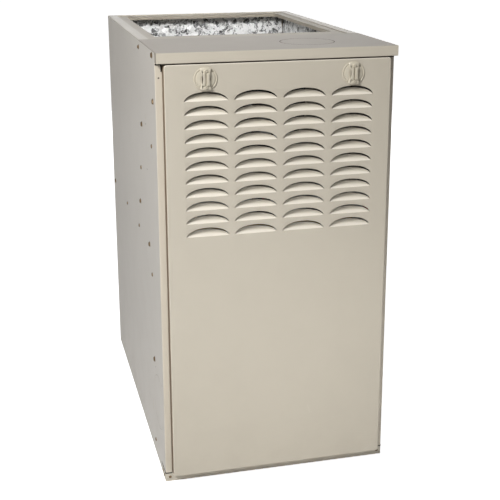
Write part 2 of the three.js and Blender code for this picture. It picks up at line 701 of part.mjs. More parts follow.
/** The tongues of one row: a sheet curled inward from its foot, trimmed to the arches. */
function louvreTongues(foot) {
  const face = FRONT - DOOR_PROUD + SHEET / 2;
  const rise = LOUVRE_RISE - LOUVRE_SLIT;
  const curl = [0, 0.45, 1.1].map(
    (share) => [face + LOUVRE_PRESS * (1 - (1 - share) ** 2), foot + rise * share]);
  const section = folded([[face, foot - 2], ...curl], SHEET, 0);
  const depths = [face - SHEET, face + LOUVRE_PRESS + 2 * SHEET];
  return louvreColumns().map((x) => {
    const width = LOUVRE_WIDTH - LOUVRE_SLIT / 2;
    const sheet = extrude(section, 'x', x - width / 2, x + width / 2);
    return sheet.intersect(extrude(louvreOutline(x, foot, width, rise, 1), 'y', ...depths));
  });
}

const louvreColumns = () => Array.from({ length: LOUVRE_COLUMNS },
  (_, i) => (i - (LOUVRE_COLUMNS - 1) / 2) * LOUVRE_COLUMN_PITCH);

const louvreFeet = () => Array.from({ length: LOUVRE_ROWS },
  (_, i) => DOOR_TOP - LOUVRE_TOP - i * LOUVRE_ROW_PITCH);

/** The full-height door: a pressed tray with a field of louvres and two latch holes. */
function outerDoor() {
  const face = FRONT - DOOR_PROUD;
  const pan = tray(
    'y', [-DOOR_HALF, DOOR_HALF], [DOOR_BOTTOM, DOOR_TOP], face, FRONT - GAP,
    { corner: 5, bevelSegments: 2 });
  const through = [face - 1, face + SHEET + 1];
  const openings = louvreFeet().flatMap((foot) => louvreColumns().map(
    (x) => extrude(louvreOutline(x, foot, LOUVRE_WIDTH, LOUVRE_RISE), 'y', ...through)));
  const latchHoles = [-1, 1].map(
    (side) => rod('y', [side * LATCH_SPREAD, LATCH_HEIGHT], SPINDLE_RADIUS + GAP, ...through));
  return join(cut(pan, openings, latchHoles), louvreFeet().flatMap(louvreTongues));
}

/** The round plate under a latch knob, thicker at its middle. */
function latchEscutcheon(side) {
  const bore = SPINDLE_RADIUS + GAP;
  const rear = FRONT - DOOR_PROUD - GAP;
  const profile = [
    [bore, rear - ESCUTCHEON_THICKNESS + GAP],
    [ESCUTCHEON_RADIUS * 0.8, rear - ESCUTCHEON_THICKNESS + GAP],
    [ESCUTCHEON_RADIUS, rear - 1],
    [ESCUTCHEON_RADIUS, rear],
    [bore, rear],
    [bore, rear - ESCUTCHEON_THICKNESS + GAP],
  ];
  return revolve(profile, 'y', [side * LATCH_SPREAD, LATCH_HEIGHT]);
}

/** The knob's outline: two broad ends drawn in to a waist. */
function knobOutline(x) {
  const half = KNOB_LENGTH / 2;
  const end = KNOB_END / 2;
  const waist = KNOB_WAIST / 2;
  const shape = new THREE.Shape();
  shape.moveTo(x - end, LATCH_HEIGHT - half + 3);
  shape.quadraticCurveTo(x - waist + 3, LATCH_HEIGHT, x - end, LATCH_HEIGHT + half - 3);
  shape.quadraticCurveTo(x, LATCH_HEIGHT + half + 3, x + end, LATCH_HEIGHT + half - 3);
  shape.quadraticCurveTo(x + waist - 3, LATCH_HEIGHT, x + end, LATCH_HEIGHT - half + 3);
  shape.quadraticCurveTo(x, LATCH_HEIGHT - half - 3, x - end, LATCH_HEIGHT - half + 3);
  return shape;
}

/** A knob with its spindle through the door and the cam that turns up behind the header. */
function latchKnob(side) {
  const x = side * LATCH_SPREAD;
  const seat = FRONT - DOOR_PROUD - ESCUTCHEON_THICKNESS - GAP;
  const crown = FRONT - DOOR_PROUD - KNOB_PROUD;
  const camFront = at(SHEET + GAP);
  const handle = extrude(knobOutline(x), 'y', crown, seat, 4);
  const spindle = rod('y', [x, LATCH_HEIGHT], SPINDLE_RADIUS, seat - 1, camFront + CAM_THICKNESS);
  const cam = extrude(roundedRectangle(
    [x - CAM_WIDTH / 2, x + CAM_WIDTH / 2],
    [LATCH_HEIGHT - CAM_WIDTH / 2, LATCH_HEIGHT + CAM_REACH], CAM_WIDTH / 2 - 0.5),
  'y', camFront, camFront + CAM_THICKNESS);
  const slot = block(
    [x - 1.4, x + 1.4], [crown - 1, crown + 2.2], [LATCH_HEIGHT - 10, LATCH_HEIGHT + 10]);
  return cut(join(handle, spindle, cam), slot);
}

/** The bracket inside the door that holds the interlock plunger in. */
function doorSwitchStriker() {
  const z = SHELF_HEIGHT + DOOR_SWITCH_RISE;
  const inside = FRONT - DOOR_PROUD + SHEET + GAP;
  const section = folded([
    [inside + SHEET / 2, z - 22], [inside + SHEET / 2, z - 8],
    [at(6), z - 8], [at(6), z + 8], [inside + SHEET / 2, z + 8], [inside + SHEET / 2, z + 22],
  ]);
  return extrude(section, 'x', DOOR_SWITCH_X - 9, DOOR_SWITCH_X + 9);
}

function door() {
  return [
    piece('outer_door', outerDoor(), 'beigePaint'),
    piece('latch_escutcheon_left', latchEscutcheon(-1), 'knobPlastic'),
    piece('latch_escutcheon_right', latchEscutcheon(1), 'knobPlastic'),
    piece('latch_knob_left', latchKnob(-1), 'knobPlastic'),
    piece('latch_knob_right', latchKnob(1), 'knobPlastic'),
    piece('door_switch_striker', doorSwitchStriker(), 'galvanised'),
  ];
}

// ---- Blower ----------------------------------------------------------------------------

const SCROLL_START = 105 * DEGREE; // the tongue, just past the top towards the front
const SCROLL_END = 360 * DEGREE; // where the outer wall turns straight up at the rear

/** The scroll's radius at an angle measured from the rear, over the top, to the front. */
function scrollRadius(angle, first, last, from = SCROLL_START, to = SCROLL_END) {
  return first * (last / first) ** ((angle - from) / (to - from));
}

/** The places in depth between which the blower blows up through the shelf. */
function outletSpan() {
  const tongue = SCROLL_START_RADIUS * Math.cos(SCROLL_START);
  return [BLOWER_Y + tongue, BLOWER_Y + SCROLL_END_RADIUS];
}

/** The line of the scroll in (y, z), from the tongue's top round to the outlet's rear wall. */
function scrollLine(extra = 0, head = SHELF_HEIGHT - GAP) {
  const steps = 11;
  const spiral = Array.from({ length: steps + 1 }, (_, i) => {
    const angle = SCROLL_START + ((SCROLL_END - SCROLL_START) * i) / steps;
    const radius = scrollRadius(angle, SCROLL_START_RADIUS, SCROLL_END_RADIUS) + extra;
    return new THREE.Vector2(
      BLOWER_Y + radius * Math.cos(angle), BLOWER_HEIGHT + radius * Math.sin(angle));
  });
  return [
    new THREE.Vector2(spiral[0].x, head),
    ...spiral,
    new THREE.Vector2(spiral[steps].x, head),
  ];
}

/** The curved sheet of the housing, between its sides. */
function blowerWrap() {
  const reach = HOUSING_HALF - SHEET - GAP;
  return extrude(folded(scrollLine(), SHEET, 0), 'x', -reach, reach);
}

/** A side of the housing: a spiral plate with a rolled inlet and a flange under the shelf. */
function blowerSide(side) {
  const outer = HOUSING_HALF;
  const head = SHELF_HEIGHT - GAP;
  const outline = scrollLine(SCROLL_RIM, head - SHEET / 2);
  const plate = extrude(outline, 'x', ...span(side, outer - SHEET, outer));
  const mouth = rod('x', [BLOWER_Y, BLOWER_HEIGHT], INLET_RADIUS + 6, ...span(side, 0, HALF), 16);
  const [front, rear] = outletSpan();
  const flange = block(
    span(side, outer - SHEET / 2, outer + 15),
    [front, rear],
    [head - SHEET, head],
  );
  const roll = [[5.6, 0], [0, -8], [0, -9.5], [5, -6], [7, 0]];
  const profile = [...roll, roll[0]].map(([r, x]) => [INLET_RADIUS + r, outer + x]);
  const bell = revolve(side > 0 ? profile : mirrored(profile), 'x', [BLOWER_Y, BLOWER_HEIGHT]);
  return join(cut(plate, mouth), flange, bell);
}

/** A turned profile on the other side of the middle, still wound the same way. */
const mirrored = (profile) => profile.map(([r, place]) => [r, -place]).reverse();

/** One forward-curved blade, in (y, z) round the blower axis. */
function bladeLine(turn) {
  const steps = 2;
  const sweep = 11 * DEGREE;
  return Array.from({ length: steps + 1 }, (_, i) => {
    const share = i / steps;
    const radius = WHEEL_BORE_RADIUS + 1 + (WHEEL_RADIUS - WHEEL_BORE_RADIUS - 3) * share;
    const angle = turn + sweep * share ** 2;
    return new THREE.Vector2(
      BLOWER_Y + radius * Math.cos(angle), BLOWER_HEIGHT + radius * Math.sin(angle));
  });
}

/** The double-inlet wheel: blades between two end rings, on a middle disc with a bored hub. */
function blowerWheel() {
  const centre = [BLOWER_Y, BLOWER_HEIGHT];
  const half = WHEEL_WIDTH / 2;
  const blades = Array.from({ length: WHEEL_BLADES }, (_, i) => extrude(
    folded(bladeLine((2 * Math.PI * i) / WHEEL_BLADES), 1, 0), 'x', -half + 0.5, half - 0.5));
  const ringShape = framed(
    arcPoints(centre, WHEEL_RADIUS, WHEEL_BLADES), arcPoints(centre, WHEEL_BORE_RADIUS, WHEEL_BLADES));
  const rings = [-1, 1].map((side) => extrude(ringShape, 'x', ...span(side, half - 3, half)));
  const disc = rod('x', centre, WHEEL_RADIUS, -1.2, 1.2, WHEEL_BLADES);
  const hub = rod('x', centre, 17, -20, 20);
  const bore = rod('x', centre, SHAFT_RADIUS + GAP, -30, 30, 12);
  return cut(join(disc, hub, rings, blades), bore);
}

/** The motor: a ribbed shell with domed ends, partly inside the wheel. */
function blowerMotor() {
  const start = MOTOR_START;
  const end = MOTOR_START + MOTOR_LENGTH;
  const r = MOTOR_RADIUS;
  const profile = [
    [0, start], [18, start], [r - 12, start + 8], [r, start + 18],
    [r, start + 30], [r - 2, start + 32], [r - 2, end - 34], [r, end - 32],
    [r, end - 16], [r - 12, end - 5], [18, end], [0, end],
  ];
  return revolve(profile, 'x', [BLOWER_Y, BLOWER_HEIGHT]);
}

/** The belly band round the motor, with three arms that stand on the housing side. */
function blowerMotorMount() {
  const centre = [BLOWER_Y, BLOWER_HEIGHT];
  const bandShape = framed(
    arcPoints(centre, MOTOR_RADIUS + 3, 16), arcPoints(centre, MOTOR_RADIUS + GAP, 16));
  const band = extrude(bandShape, 'x', HOUSING_HALF + 2, HOUSING_HALF + 24);
  const arms = [90, 210, 330].flatMap((degrees) => motorArm(degrees * DEGREE));
  return join(band, arms);
}

/** One arm of the motor mount: a flat bar out to a foot on the housing side. */
function motorArm(angle) {
  const bar = block(
    [HOUSING_HALF + 8, HOUSING_HALF + 18], [MOTOR_RADIUS + 1, INLET_RADIUS + 26], [-5, 5]);
  const foot = block(
    [HOUSING_HALF + GAP, HOUSING_HALF + 18], [INLET_RADIUS + 13, INLET_RADIUS + 26], [-10, 10]);
  const turned = new THREE.Matrix4().makeTranslation(0, BLOWER_Y, BLOWER_HEIGHT)
    .multiply(new THREE.Matrix4().makeRotationX(angle));
  return [bar, foot].map((shape) => placed(shape, turned));
}

function blower() {
  const centre = [BLOWER_Y, BLOWER_HEIGHT];
  const shaft = rod('x', centre, SHAFT_RADIUS, -26, MOTOR_START - GAP, 12);
  const can = roundedRectangle(
    [-HOUSING_HALF - GAP - 32, -HOUSING_HALF - GAP], [BLOWER_Y + 90, BLOWER_Y + 142], 15, 3);
  const capacitor = extrude(can, 'z', BLOWER_HEIGHT + 90, BLOWER_HEIGHT + 165);
  const terminals = [-9, 9].map((side) => block(
    [-HOUSING_HALF - 18, -HOUSING_HALF - 15],
    [BLOWER_Y + 116 + side - 3, BLOWER_Y + 116 + side + 3],
    [BLOWER_HEIGHT + 164, BLOWER_HEIGHT + 174],
  ));
  return [
    piece('blower_scroll_wrap', blowerWrap(), 'galvanised'),
    piece('blower_side_left', blowerSide(-1), 'galvanised'),
    piece('blower_side_right', blowerSide(1), 'galvanised'),
    piece('blower_wheel', blowerWheel(), 'galvanised'),
    piece('blower_shaft', shaft, 'steelShaft'),
    piece('blower_motor', blowerMotor(), 'blackPaint'),
    piece('blower_motor_mount', blowerMotorMount(), 'galvanised'),
    piece('run_capacitor', join(capacitor, terminals), 'castAluminium'),
  ];
}

// ---- Heat cells ------------------------------------------------------------------------

const cellPlaces = () => Array.from({ length: CELLS }, (_, i) => (i - (CELLS - 1) / 2) * CELL_PITCH);

/** The nearest place between two cells on a side of the middle. */
const betweenCells = (side) => side * CELL_PITCH * (CELLS % 2 === 0 ? 1 : 0.5);

/** The serpentine of a cell in (y, z): four passes joined by three turns. */
function serpentine(mouth) {
  const near = at(CELL_PANEL_DEPTH + CELL_FRONT_TURN);
  const far = BACK - CELL_REAR_ROOM;
  const stops = [{ y: mouth, heading: 0, z: BURNER_AXIS }];
  [far, near, far].forEach((y, turn) => {
    const towards = y === far ? 1 : -1;
    const z = BURNER_AXIS + (2 * turn + 1) * CELL_TURN_RADIUS;
    const steps = 3;
    for (let i = 0; i <= steps; i += 1) {
      const angle = -Math.PI / 2 + (Math.PI * i) / steps;
      stops.push({
        y: y + towards * CELL_TURN_RADIUS * Math.cos(angle),
        z: z + CELL_TURN_RADIUS * Math.sin(angle),
        heading: towards > 0 ? angle + Math.PI / 2 : Math.PI / 2 - angle,
      });
    }
  });
  stops.push({ y: mouth, heading: Math.PI, z: CELL_OUTLET });
  return stops;
}

/** A flattened tube along the serpentine, narrowing as it goes. */
function cellTube(x, mouth, inset) {
  const stops = serpentine(mouth);
  const sides = 8;
  return loft(stops.map(({ y, z, heading }, i) => {
    const scale = 1 - (1 - CELL_TAPER) * (i / (stops.length - 1));
    return Array.from({ length: sides }, (_, j) => {
      const angle = (2 * Math.PI * j) / sides;
      const lift = (scale * CELL_HALF_HEIGHT - inset) * Math.sin(angle);
      return new THREE.Vector3(
        x - (scale * CELL_HALF_WIDTH - inset) * Math.cos(angle),
        y - lift * Math.sin(heading),
        z + lift * Math.cos(heading),
      );
    });
  }));
}

/** One clamshell cell: a hollow tube, open at both mouths, on its seam web. */
function heatCell(x) {
  const mouth = at(CELL_PANEL_DEPTH + SHEET + GAP);
  const web = roundedRectangle(
    [at(CELL_PANEL_DEPTH + 6), BACK - CELL_REAR_ROOM + CELL_TURN_RADIUS + 30],
    [BURNER_AXIS - 32, CELL_OUTLET + 26], 14);
  const seam = extrude(web, 'x', x - CELL_WALL / 2, x + CELL_WALL / 2);
  return cut(join(cellTube(x, mouth, 0), seam), cellTube(x, mouth - 1, CELL_WALL));
}

/** The box over the cells' outlets, open to the rear, with a flange on the cell panel. */
function collectorBox() {
  const across = [-COLLECTOR_HALF_WIDTH, COLLECTOR_HALF_WIDTH];
  const up = [CELL_OUTLET - COLLECTOR_HALF_HEIGHT, CELL_OUTLET + COLLECTOR_HALF_HEIGHT];
  const rim = at(CELL_PANEL_DEPTH - GAP);
  const face = rim - COLLECTOR_DEPTH;
  const pan = tray('y', across, up, face, rim, { corner: 10 });
  const widen = ([a, b], by) => [a - by, b + by];
  const flange = framed(
    roundedRectangle(widen(across, 11), widen(up, 11), 12),
    roundedRectangle(widen(across, -SHEET / 2), widen(up, -SHEET / 2), 10 - SHEET / 2));
  const mouth = rod('y', [INDUCER_X, INDUCER_AXIS], 12, face - 1, face + 4);
  return cut(join(pan, extrude(flange, 'y', rim - SHEET, rim)), mouth);
}

function heatExchanger() {
  const cells = cellPlaces().map((x, i) => piece(`heat_cell_${i + 1}`, heatCell(x), 'aluminised'));
  return [...cells, piece('collector_box', collectorBox(), 'aluminised')];
}

// ---- Draft inducer ---------------------------------------------------------------------

const INDUCER_START = 58 * DEGREE;

/** The inducer's scroll in (x, z), grown or shrunk by `extra`, with its straight throat. */
function inducerScroll(extra, throatTop) {
  const steps = 9;
  const spiral = Array.from({ length: steps + 1 }, (_, i) => {
    const angle = INDUCER_START + ((2 * Math.PI - INDUCER_START) * i) / steps;
    const radius = extra
      + scrollRadius(angle, INDUCER_START_RADIUS, INDUCER_END_RADIUS, INDUCER_START, 2 * Math.PI);
    return new THREE.Vector2(
      INDUCER_X + radius * Math.cos(angle), INDUCER_AXIS + radius * Math.sin(angle));
  });
  const left = spiral[0].x - extra;
  return [
    new THREE.Vector2(left - extra, throatTop), ...spiral,
    new THREE.Vector2(spiral[steps].x, throatTop),
  ];
}

/** The outlet from the throat's rectangle to the round vent collar, as a loft. */
function inducerOutlet(shrink, bottom, top) {
  const sides = 12;
  const throatLow = INDUCER_X + INDUCER_START_RADIUS * Math.cos(INDUCER_START);
  const throatHigh = INDUCER_X + INDUCER_END_RADIUS;
  const from = new THREE.Vector2((throatLow + throatHigh) / 2, at(INDUCER_FRONT + INDUCER_WIDTH / 2));
  const to = new THREE.Vector2(VENT_X, at(VENT_COLLAR_DEPTH));
  const halfX = (throatHigh - throatLow) / 2 - shrink;
  const halfY = INDUCER_WIDTH / 2 - shrink;
  const round = VENT_COLLAR_RADIUS - shrink;
  const collarFoot = TOP - VENT_COLLAR_ROOM - VENT_COLLAR_HEIGHT;
  const levels = [[bottom, 0], ...[0.5, 1].map((s) => [bottom + 3 + (collarFoot - bottom - 3) * s, s])];
  return loft([...levels, [top, 1]].map(([z, share]) => {
    const blend = share * share * (3 - 2 * share);
    const centre = from.clone().lerp(to, blend);
    return Array.from({ length: sides }, (_, i) => {
      const angle = (2 * Math.PI * i) / sides;
      const [c, s] = [Math.cos(angle), Math.sin(angle)];
      const square = 1 / Math.max(Math.abs(c), Math.abs(s));
      return new THREE.Vector3(
        centre.x + c * THREE.MathUtils.lerp(halfX * square, round, blend),
        centre.y + s * THREE.MathUtils.lerp(halfY * square, round, blend),
        z,
      );
    });
  }));
}

/** The moulded scroll with its lofted outlet, open at the inlet, the outlet and the shaft. */
function inducerHousing() {
  const throat = INDUCER_AXIS + INDUCER_START_RADIUS;
  const depths = [at(INDUCER_FRONT), at(INDUCER_REAR)];
  const collarTop = TOP - VENT_COLLAR_ROOM;
  const outer = join(
    extrude(inducerScroll(0, throat), 'y', ...depths),
    inducerOutlet(0, throat - 3, collarTop),
    rod('y', inducerTap(), NIPPLE_RADIUS, depths[0] - NIPPLE_LENGTH, depths[0] + 1, 8),
  );
  const inner = join(
    extrude(
      inducerScroll(-INDUCER_WALL, throat), 'y', depths[0] + INDUCER_WALL, depths[1] - INDUCER_WALL),
    inducerOutlet(INDUCER_WALL, throat - 3, collarTop + 1),
  );
  const axis = [INDUCER_X, INDUCER_AXIS];
  return cut(
    outer,
    inner,
    rod('y', axis, 26, depths[1] - 4, depths[1] + 1),
    rod('y', axis, INDUCER_SHAFT_RADIUS + 1, depths[0] - 1, depths[0] + 4, 8),
  );
}

/** The inducer's wheel: radial blades on a plate, and the shaft that runs through the motor. */
function inducerWheel() {
  const axis = [INDUCER_X, INDUCER_AXIS];
  const plateFace = at(INDUCER_FRONT + INDUCER_WALL + 5);
  const blades = 8;
  const plate = rod('y', axis, INDUCER_WHEEL_RADIUS, plateFace, plateFace + 2, 16);
  const hub = rod('y', axis, 9, plateFace - 2, plateFace + 20);
  const shaft = rod('y', axis, INDUCER_SHAFT_RADIUS, inducerFanFront(), plateFace + 18);
  const blade = extrude(
    [[8, 0], [INDUCER_WHEEL_RADIUS - 2, 0], [INDUCER_WHEEL_RADIUS - 2, 26], [30, 26], [8, 14]]
      .map((p) => new THREE.Vector2(...p)),
    'z', -0.9, 0.9);
  const around = Array.from({ length: blades }, (_, i) => placed(
    blade,
    new THREE.Matrix4().makeTranslation(INDUCER_X, plateFace + 1, INDUCER_AXIS)
      .multiply(new THREE.Matrix4().makeRotationY((2 * Math.PI * i) / blades)),
  ));
  return join(plate, hub, shaft, around);
}

const inducerMotorEnds = () => {
  const rear = INDUCER_FRONT - 14;
  return [at(rear - INDUCER_MOTOR_LENGTH), at(rear)];
};

const inducerFanFront = () => inducerMotorEnds()[0] - 16;

/** The inducer's motor, bored for its shaft, on three legs to the housing. */
function inducerMotor() {
  const axis = [INDUCER_X, INDUCER_AXIS];
  const [front, rear] = inducerMotorEnds();
  const r = INDUCER_MOTOR_RADIUS;
  const bore = INDUCER_SHAFT_RADIUS + GAP;
  const shell = revolve([
    [bore, front], [12, front], [r - 6, front + 5], [r, front + 12],
    [r, rear - 10], [r - 6, rear - 3], [bore, rear - 3], [bore, front],
  ], 'y', axis, 12);
  const legs = [30, 150, 270].flatMap((degrees) => inducerLeg(degrees * DEGREE, rear));
  return join(shell, legs);
}

/** One leg of the inducer's motor: a lug from the shell and a post to the housing's face. */
function inducerLeg(angle, rear) {
  const reach = INDUCER_MOTOR_RADIUS + 6;
  const lug = block([INDUCER_MOTOR_RADIUS - 6, reach + 4], [rear - 18, rear - 12], [-6, 6]);
  const post = rod('y', [reach, 0], 4, rear - 14, at(INDUCER_FRONT - GAP), 8);
  const turned = new THREE.Matrix4().makeTranslation(INDUCER_X, 0, INDUCER_AXIS)
    .multiply(new THREE.Matrix4().makeRotationY(-angle));
  return [lug, post].map((shape) => placed(shape, turned));
}

/** The small fan on the free end of the inducer's shaft. */
function inducerCoolingFan() {
  const front = inducerFanFront() + 1;
  const back = inducerMotorEnds()[0] - 2;
  const axis = [INDUCER_X, INDUCER_AXIS];
  const hub = rod('y', axis, 10, front, back, 12);
  const blades = 6;
  const blade = block([8, 34], [-5, 5], [-0.8, 0.8]);
  const pitched = new THREE.Matrix4().makeRotationX(40 * DEGREE);
  const around = Array.from({ length: blades }, (_, i) => placed(
    blade,
    new THREE.Matrix4().makeTranslation(INDUCER_X, (front + back) / 2, INDUCER_AXIS)
      .multiply(new THREE.Matrix4().makeRotationY((2 * Math.PI * i) / blades))
      .multiply(pitched),
  ));
  return cut(join(hub, around), rod('y', axis, INDUCER_SHAFT_RADIUS + GAP, front - 1, back + 1, 12));
}

function inducer() {
  return [
    piece('inducer_housing', inducerHousing(), 'blackPaint'),
    piece('inducer_motor', inducerMotor(), 'galvanised'),
    piece('inducer_wheel', inducerWheel(), 'galvanised'),
    piece('inducer_cooling_fan', inducerCoolingFan(), 'blackPlastic'),
  ];
}

// ---- Burners and gas train -------------------------------------------------------------

/** An in-shot burner: a bell mouth, a throat and a flared flame head, hollow throughout. */
function burner(x) {
  const outer = [
    [19, BURNER_START], [BURNER_THROAT_RADIUS, BRACKET_FRONT - 14],
    [BURNER_THROAT_RADIUS, BRACKET_FRONT + 12],
    [BURNER_HEAD_RADIUS, BRACKET_REAR - 8], [BURNER_HEAD_RADIUS, BURNER_END],
  ];
  const inner = [...outer].reverse().map(([r, depth]) => [r - BURNER_WALL, depth]);
  const profile = [...outer, ...inner, outer[0]].map(([r, depth]) => [r, at(depth)]);
  return revolve(profile, 'y', [x, BURNER_AXIS], ROUND_FIT);
}

/** The open box that carries the burners: it stands on the shelf by its two ends. */
function burnerBracket() {
  const base = BURNER_AXIS - BRACKET_DROP;
  const section = folded([
    [at(BRACKET_FRONT), BURNER_AXIS + BRACKET_RISE], [at(BRACKET_FRONT), base],
    [at(BRACKET_REAR), base], [at(BRACKET_REAR), BURNER_AXIS + BRACKET_RISE - 12],
  ]);
  const channel = extrude(section, 'x', -BRACKET_HALF_WIDTH, BRACKET_HALF_WIDTH);
  const ends = [-1, 1].map((side) => block(
    span(side, BRACKET_HALF_WIDTH - SHEET, BRACKET_HALF_WIDTH),
    [at(BRACKET_FRONT), at(BRACKET_REAR)],
    [SHELF_TOP + GAP, BURNER_AXIS + BRACKET_RISE - 20],
  ));
  const around = (x, radius, depth) => rod(
    'y', [x, BURNER_AXIS], radius + GAP, at(depth - 3), at(depth + 3), ROUND_FIT);
  const holes = cellPlaces().flatMap((x) => [
    around(x, BURNER_THROAT_RADIUS, BRACKET_FRONT), around(x, BURNER_HEAD_RADIUS, BRACKET_REAR)]);
  const notches = [-1, 1].map((side) => block(
    [betweenCells(side) - 11, betweenCells(side) + 11],
    [at(BRACKET_REAR - 4), at(BRACKET_REAR + 4)],
    [base + 2, BURNER_AXIS + BRACKET_RISE],
  ));
  return cut(join(channel, ends), holes, notches);
}

/** The manifold pipe with one orifice spud for each burner and two ears to the bracket. */
function gasManifold() {
  const axis = [at(MANIFOLD_DEPTH), BURNER_AXIS];
  const right = VALVE_X - VALVE_WIDTH / 2 - GAP;
  const pipe = rod('x', axis, MANIFOLD_RADIUS, -BRACKET_HALF_WIDTH - 6, right, 12);
  const left = -BRACKET_HALF_WIDTH - 12;
  const capEnd = rod('x', axis, MANIFOLD_RADIUS + 3, left, left + 16, 6);
  const union = rod('x', axis, MANIFOLD_RADIUS + 4, right - 12, right, 6);
  const spuds = cellPlaces().flatMap((x) => [
    rod('y', [x, BURNER_AXIS], 8, at(MANIFOLD_DEPTH), at(MANIFOLD_DEPTH + 18), 6),
    rod('y', [x, BURNER_AXIS], 4.5, at(MANIFOLD_DEPTH), at(BURNER_START + 4), 6),
  ]);
  const ears = [-1, 1].map((side) => block(
    span(side, OUTER_CELL + EAR_ROOM, OUTER_CELL + EAR_ROOM + 2.5),
    [at(MANIFOLD_DEPTH), at(BRACKET_FRONT) - SHEET / 2 - GAP],
    [BURNER_AXIS - 9, BURNER_AXIS + 9],
  ));
  return join(pipe, capEnd, union, spuds, ears);
}

/** The gas valve: a cast body with a regulator tower, a coil housing and a knob boss. */
function gasValve() {
  const [x0, x1] = [VALVE_X - VALVE_WIDTH / 2, VALVE_X + VALVE_WIDTH / 2];
  const [y0, y1] = [at(MANIFOLD_DEPTH) - VALVE_DEPTH / 2, at(MANIFOLD_DEPTH) + VALVE_DEPTH / 2];
  const low = BURNER_AXIS - 24;
  const high = low + VALVE_HEIGHT;
  const body = extrude(roundedRectangle([x0, x1], [y0, y1], 7), 'z', low, high);
  const top = rod('z', [VALVE_X, at(MANIFOLD_DEPTH)], 17, high - 1, high + 8, 6);
  const tower = rod('y', [VALVE_X - 10, low + 20], 8, y0 - 10, y0 + 2, 12);
  const boss = rod('y', [VALVE_X, high - 26], 13, y0 - 3, y0 + 2);
  const coil = extrude(
    roundedRectangle([x0 + 3, x1 - 3], [low + 6, high - 44], 4), 'y', y1 - 2, y1 + 18);
  const stem = rod('y', [VALVE_X, high - 26], 4 + GAP, y0 - 4, y0 + 8, 12);
  return cut(join(body, top, tower, boss, coil), stem);
}

/** The valve's knob: a fluted cap with a raised pointer, on a stem in the valve's boss. */
function gasValveKnob() {
  const z = BURNER_AXIS - 24 + VALVE_HEIGHT - 26;
  const seat = at(MANIFOLD_DEPTH) - VALVE_DEPTH / 2 - 3 - GAP;
  const flutes = 6;
  const cap = rod('y', [VALVE_X, z], 12, seat - 11, seat, 18);
  const grooves = Array.from({ length: flutes }, (_, i) => {
    const angle = (2 * Math.PI * (i + 0.5)) / flutes;
    const centre = [VALVE_X + 12.2 * Math.cos(angle), z + 12.2 * Math.sin(angle)];
    return rod('y', centre, 2, seat - 12, seat - 2.5, 5);
  });
  const pointer = block([VALVE_X - 1.8, VALVE_X + 1.8], [seat - 13.5, seat - 10], [z, z + 10.5]);
  const stem = rod('y', [VALVE_X, z], 4, seat - 2, seat + 9, 12);
  return join(cut(cap, grooves), pointer, stem);
}

/** The elbow of pipe from the valve's top out to the gas entry in the right side. */
function gasSupplyPipe() {
  const foot = BURNER_AXIS - 24 + VALVE_HEIGHT + 8 + GAP;
  const entry = SHELF_HEIGHT + GAS_HOLE_RISE;
  const y = at(MANIFOLD_DEPTH);
  const bend = 16;
  const steps = 3;
  const stops = [{ x: VALVE_X, z: foot, heading: 0 }];
  for (let i = 0; i <= steps; i += 1) {
    const heading = (Math.PI / 2) * (i / steps);
    stops.push({
      x: VALVE_X + bend * (1 - Math.cos(heading)), z: entry - bend + bend * Math.sin(heading), heading,
    });
  }
  stops.push({ x: HALF, z: entry, heading: Math.PI / 2 });
  const sides = ROUND_FIT;
  const rings = stops.map(({ x, z, heading }) => Array.from({ length: sides }, (_, i) => {
    const angle = (2 * Math.PI * i) / sides;
    const lift = MANIFOLD_RADIUS * Math.cos(angle);
    return new THREE.Vector3(
      x + lift * Math.cos(heading), y + MANIFOLD_RADIUS * Math.sin(angle), z - lift * Math.sin(heading));
  }));
  const bore = rod('x', [y, entry], MANIFOLD_RADIUS - 3, HALF - 14, HALF + 1, 6);
  return cut(loft(rings), bore);
}

/** The rubber ring that seals the pipe in the side panel. */
function gasPipeGrommet() {
  const centre = [at(MANIFOLD_DEPTH), SHELF_HEIGHT + GAS_HOLE_RISE];
  const bore = MANIFOLD_RADIUS + GAP;
  const neck = GAS_HOLE_RADIUS - GAP;
  return revolve([
    [bore, INNER - 6], [neck + 2, INNER - 6], [neck + 5, INNER - 3], [neck + 5, INNER - GAP],
    [neck, INNER - GAP], [neck, HALF], [bore, HALF], [bore, INNER - 6],
  ], 'x', centre, ROUND_FIT);
}

/** The igniter: a ceramic base on the bracket and a forked carbide tip by the flame head. */
function igniter() {
  const x = betweenCells(-1);
  const base = BURNER_AXIS - BRACKET_DROP + SHEET / 2 + GAP;
  const foot = block([x - 9, x + 9], [at(150), at(182)], [base, base + 4]);
  const stem = extrude(roundedRectangle([x - 7, x + 7], [base + 3, base + 15], 3), 'y', at(152), at(188));
  const fork = [-1, 1].map((side) => block(
    span(side, 1.5, 4).map((v) => v + x), [at(186), at(218)], [base + 8, base + 11]));
  const tip = block([x - 4, x + 4], [at(216), at(221)], [base + 8, base + 11]);
  return join(foot, stem, fork, tip);
}

/** The flame sensor: a rod in a ceramic sleeve, on a small foot. */
function flameSensor() {
  const x = betweenCells(1);
  const base = BURNER_AXIS - BRACKET_DROP + SHEET / 2 + GAP;
  const z = base + 12;
  const foot = block([x - 8, x + 8], [at(150), at(172)], [base, base + 2]);
  const post = block([x - 5, x + 5], [at(158), at(161)], [base, z + 6]);
  const sleeve = revolve([
    [0, at(148)], [5, at(148)], [5, at(165)], [3.5, at(168)], [3.5, at(186)], [0, at(186)],
  ], 'y', [x, z], 8);
  const wire = rod('y', [x, z], 1.4, at(184), at(228), 6);
  return join(foot, post, sleeve, wire);
}

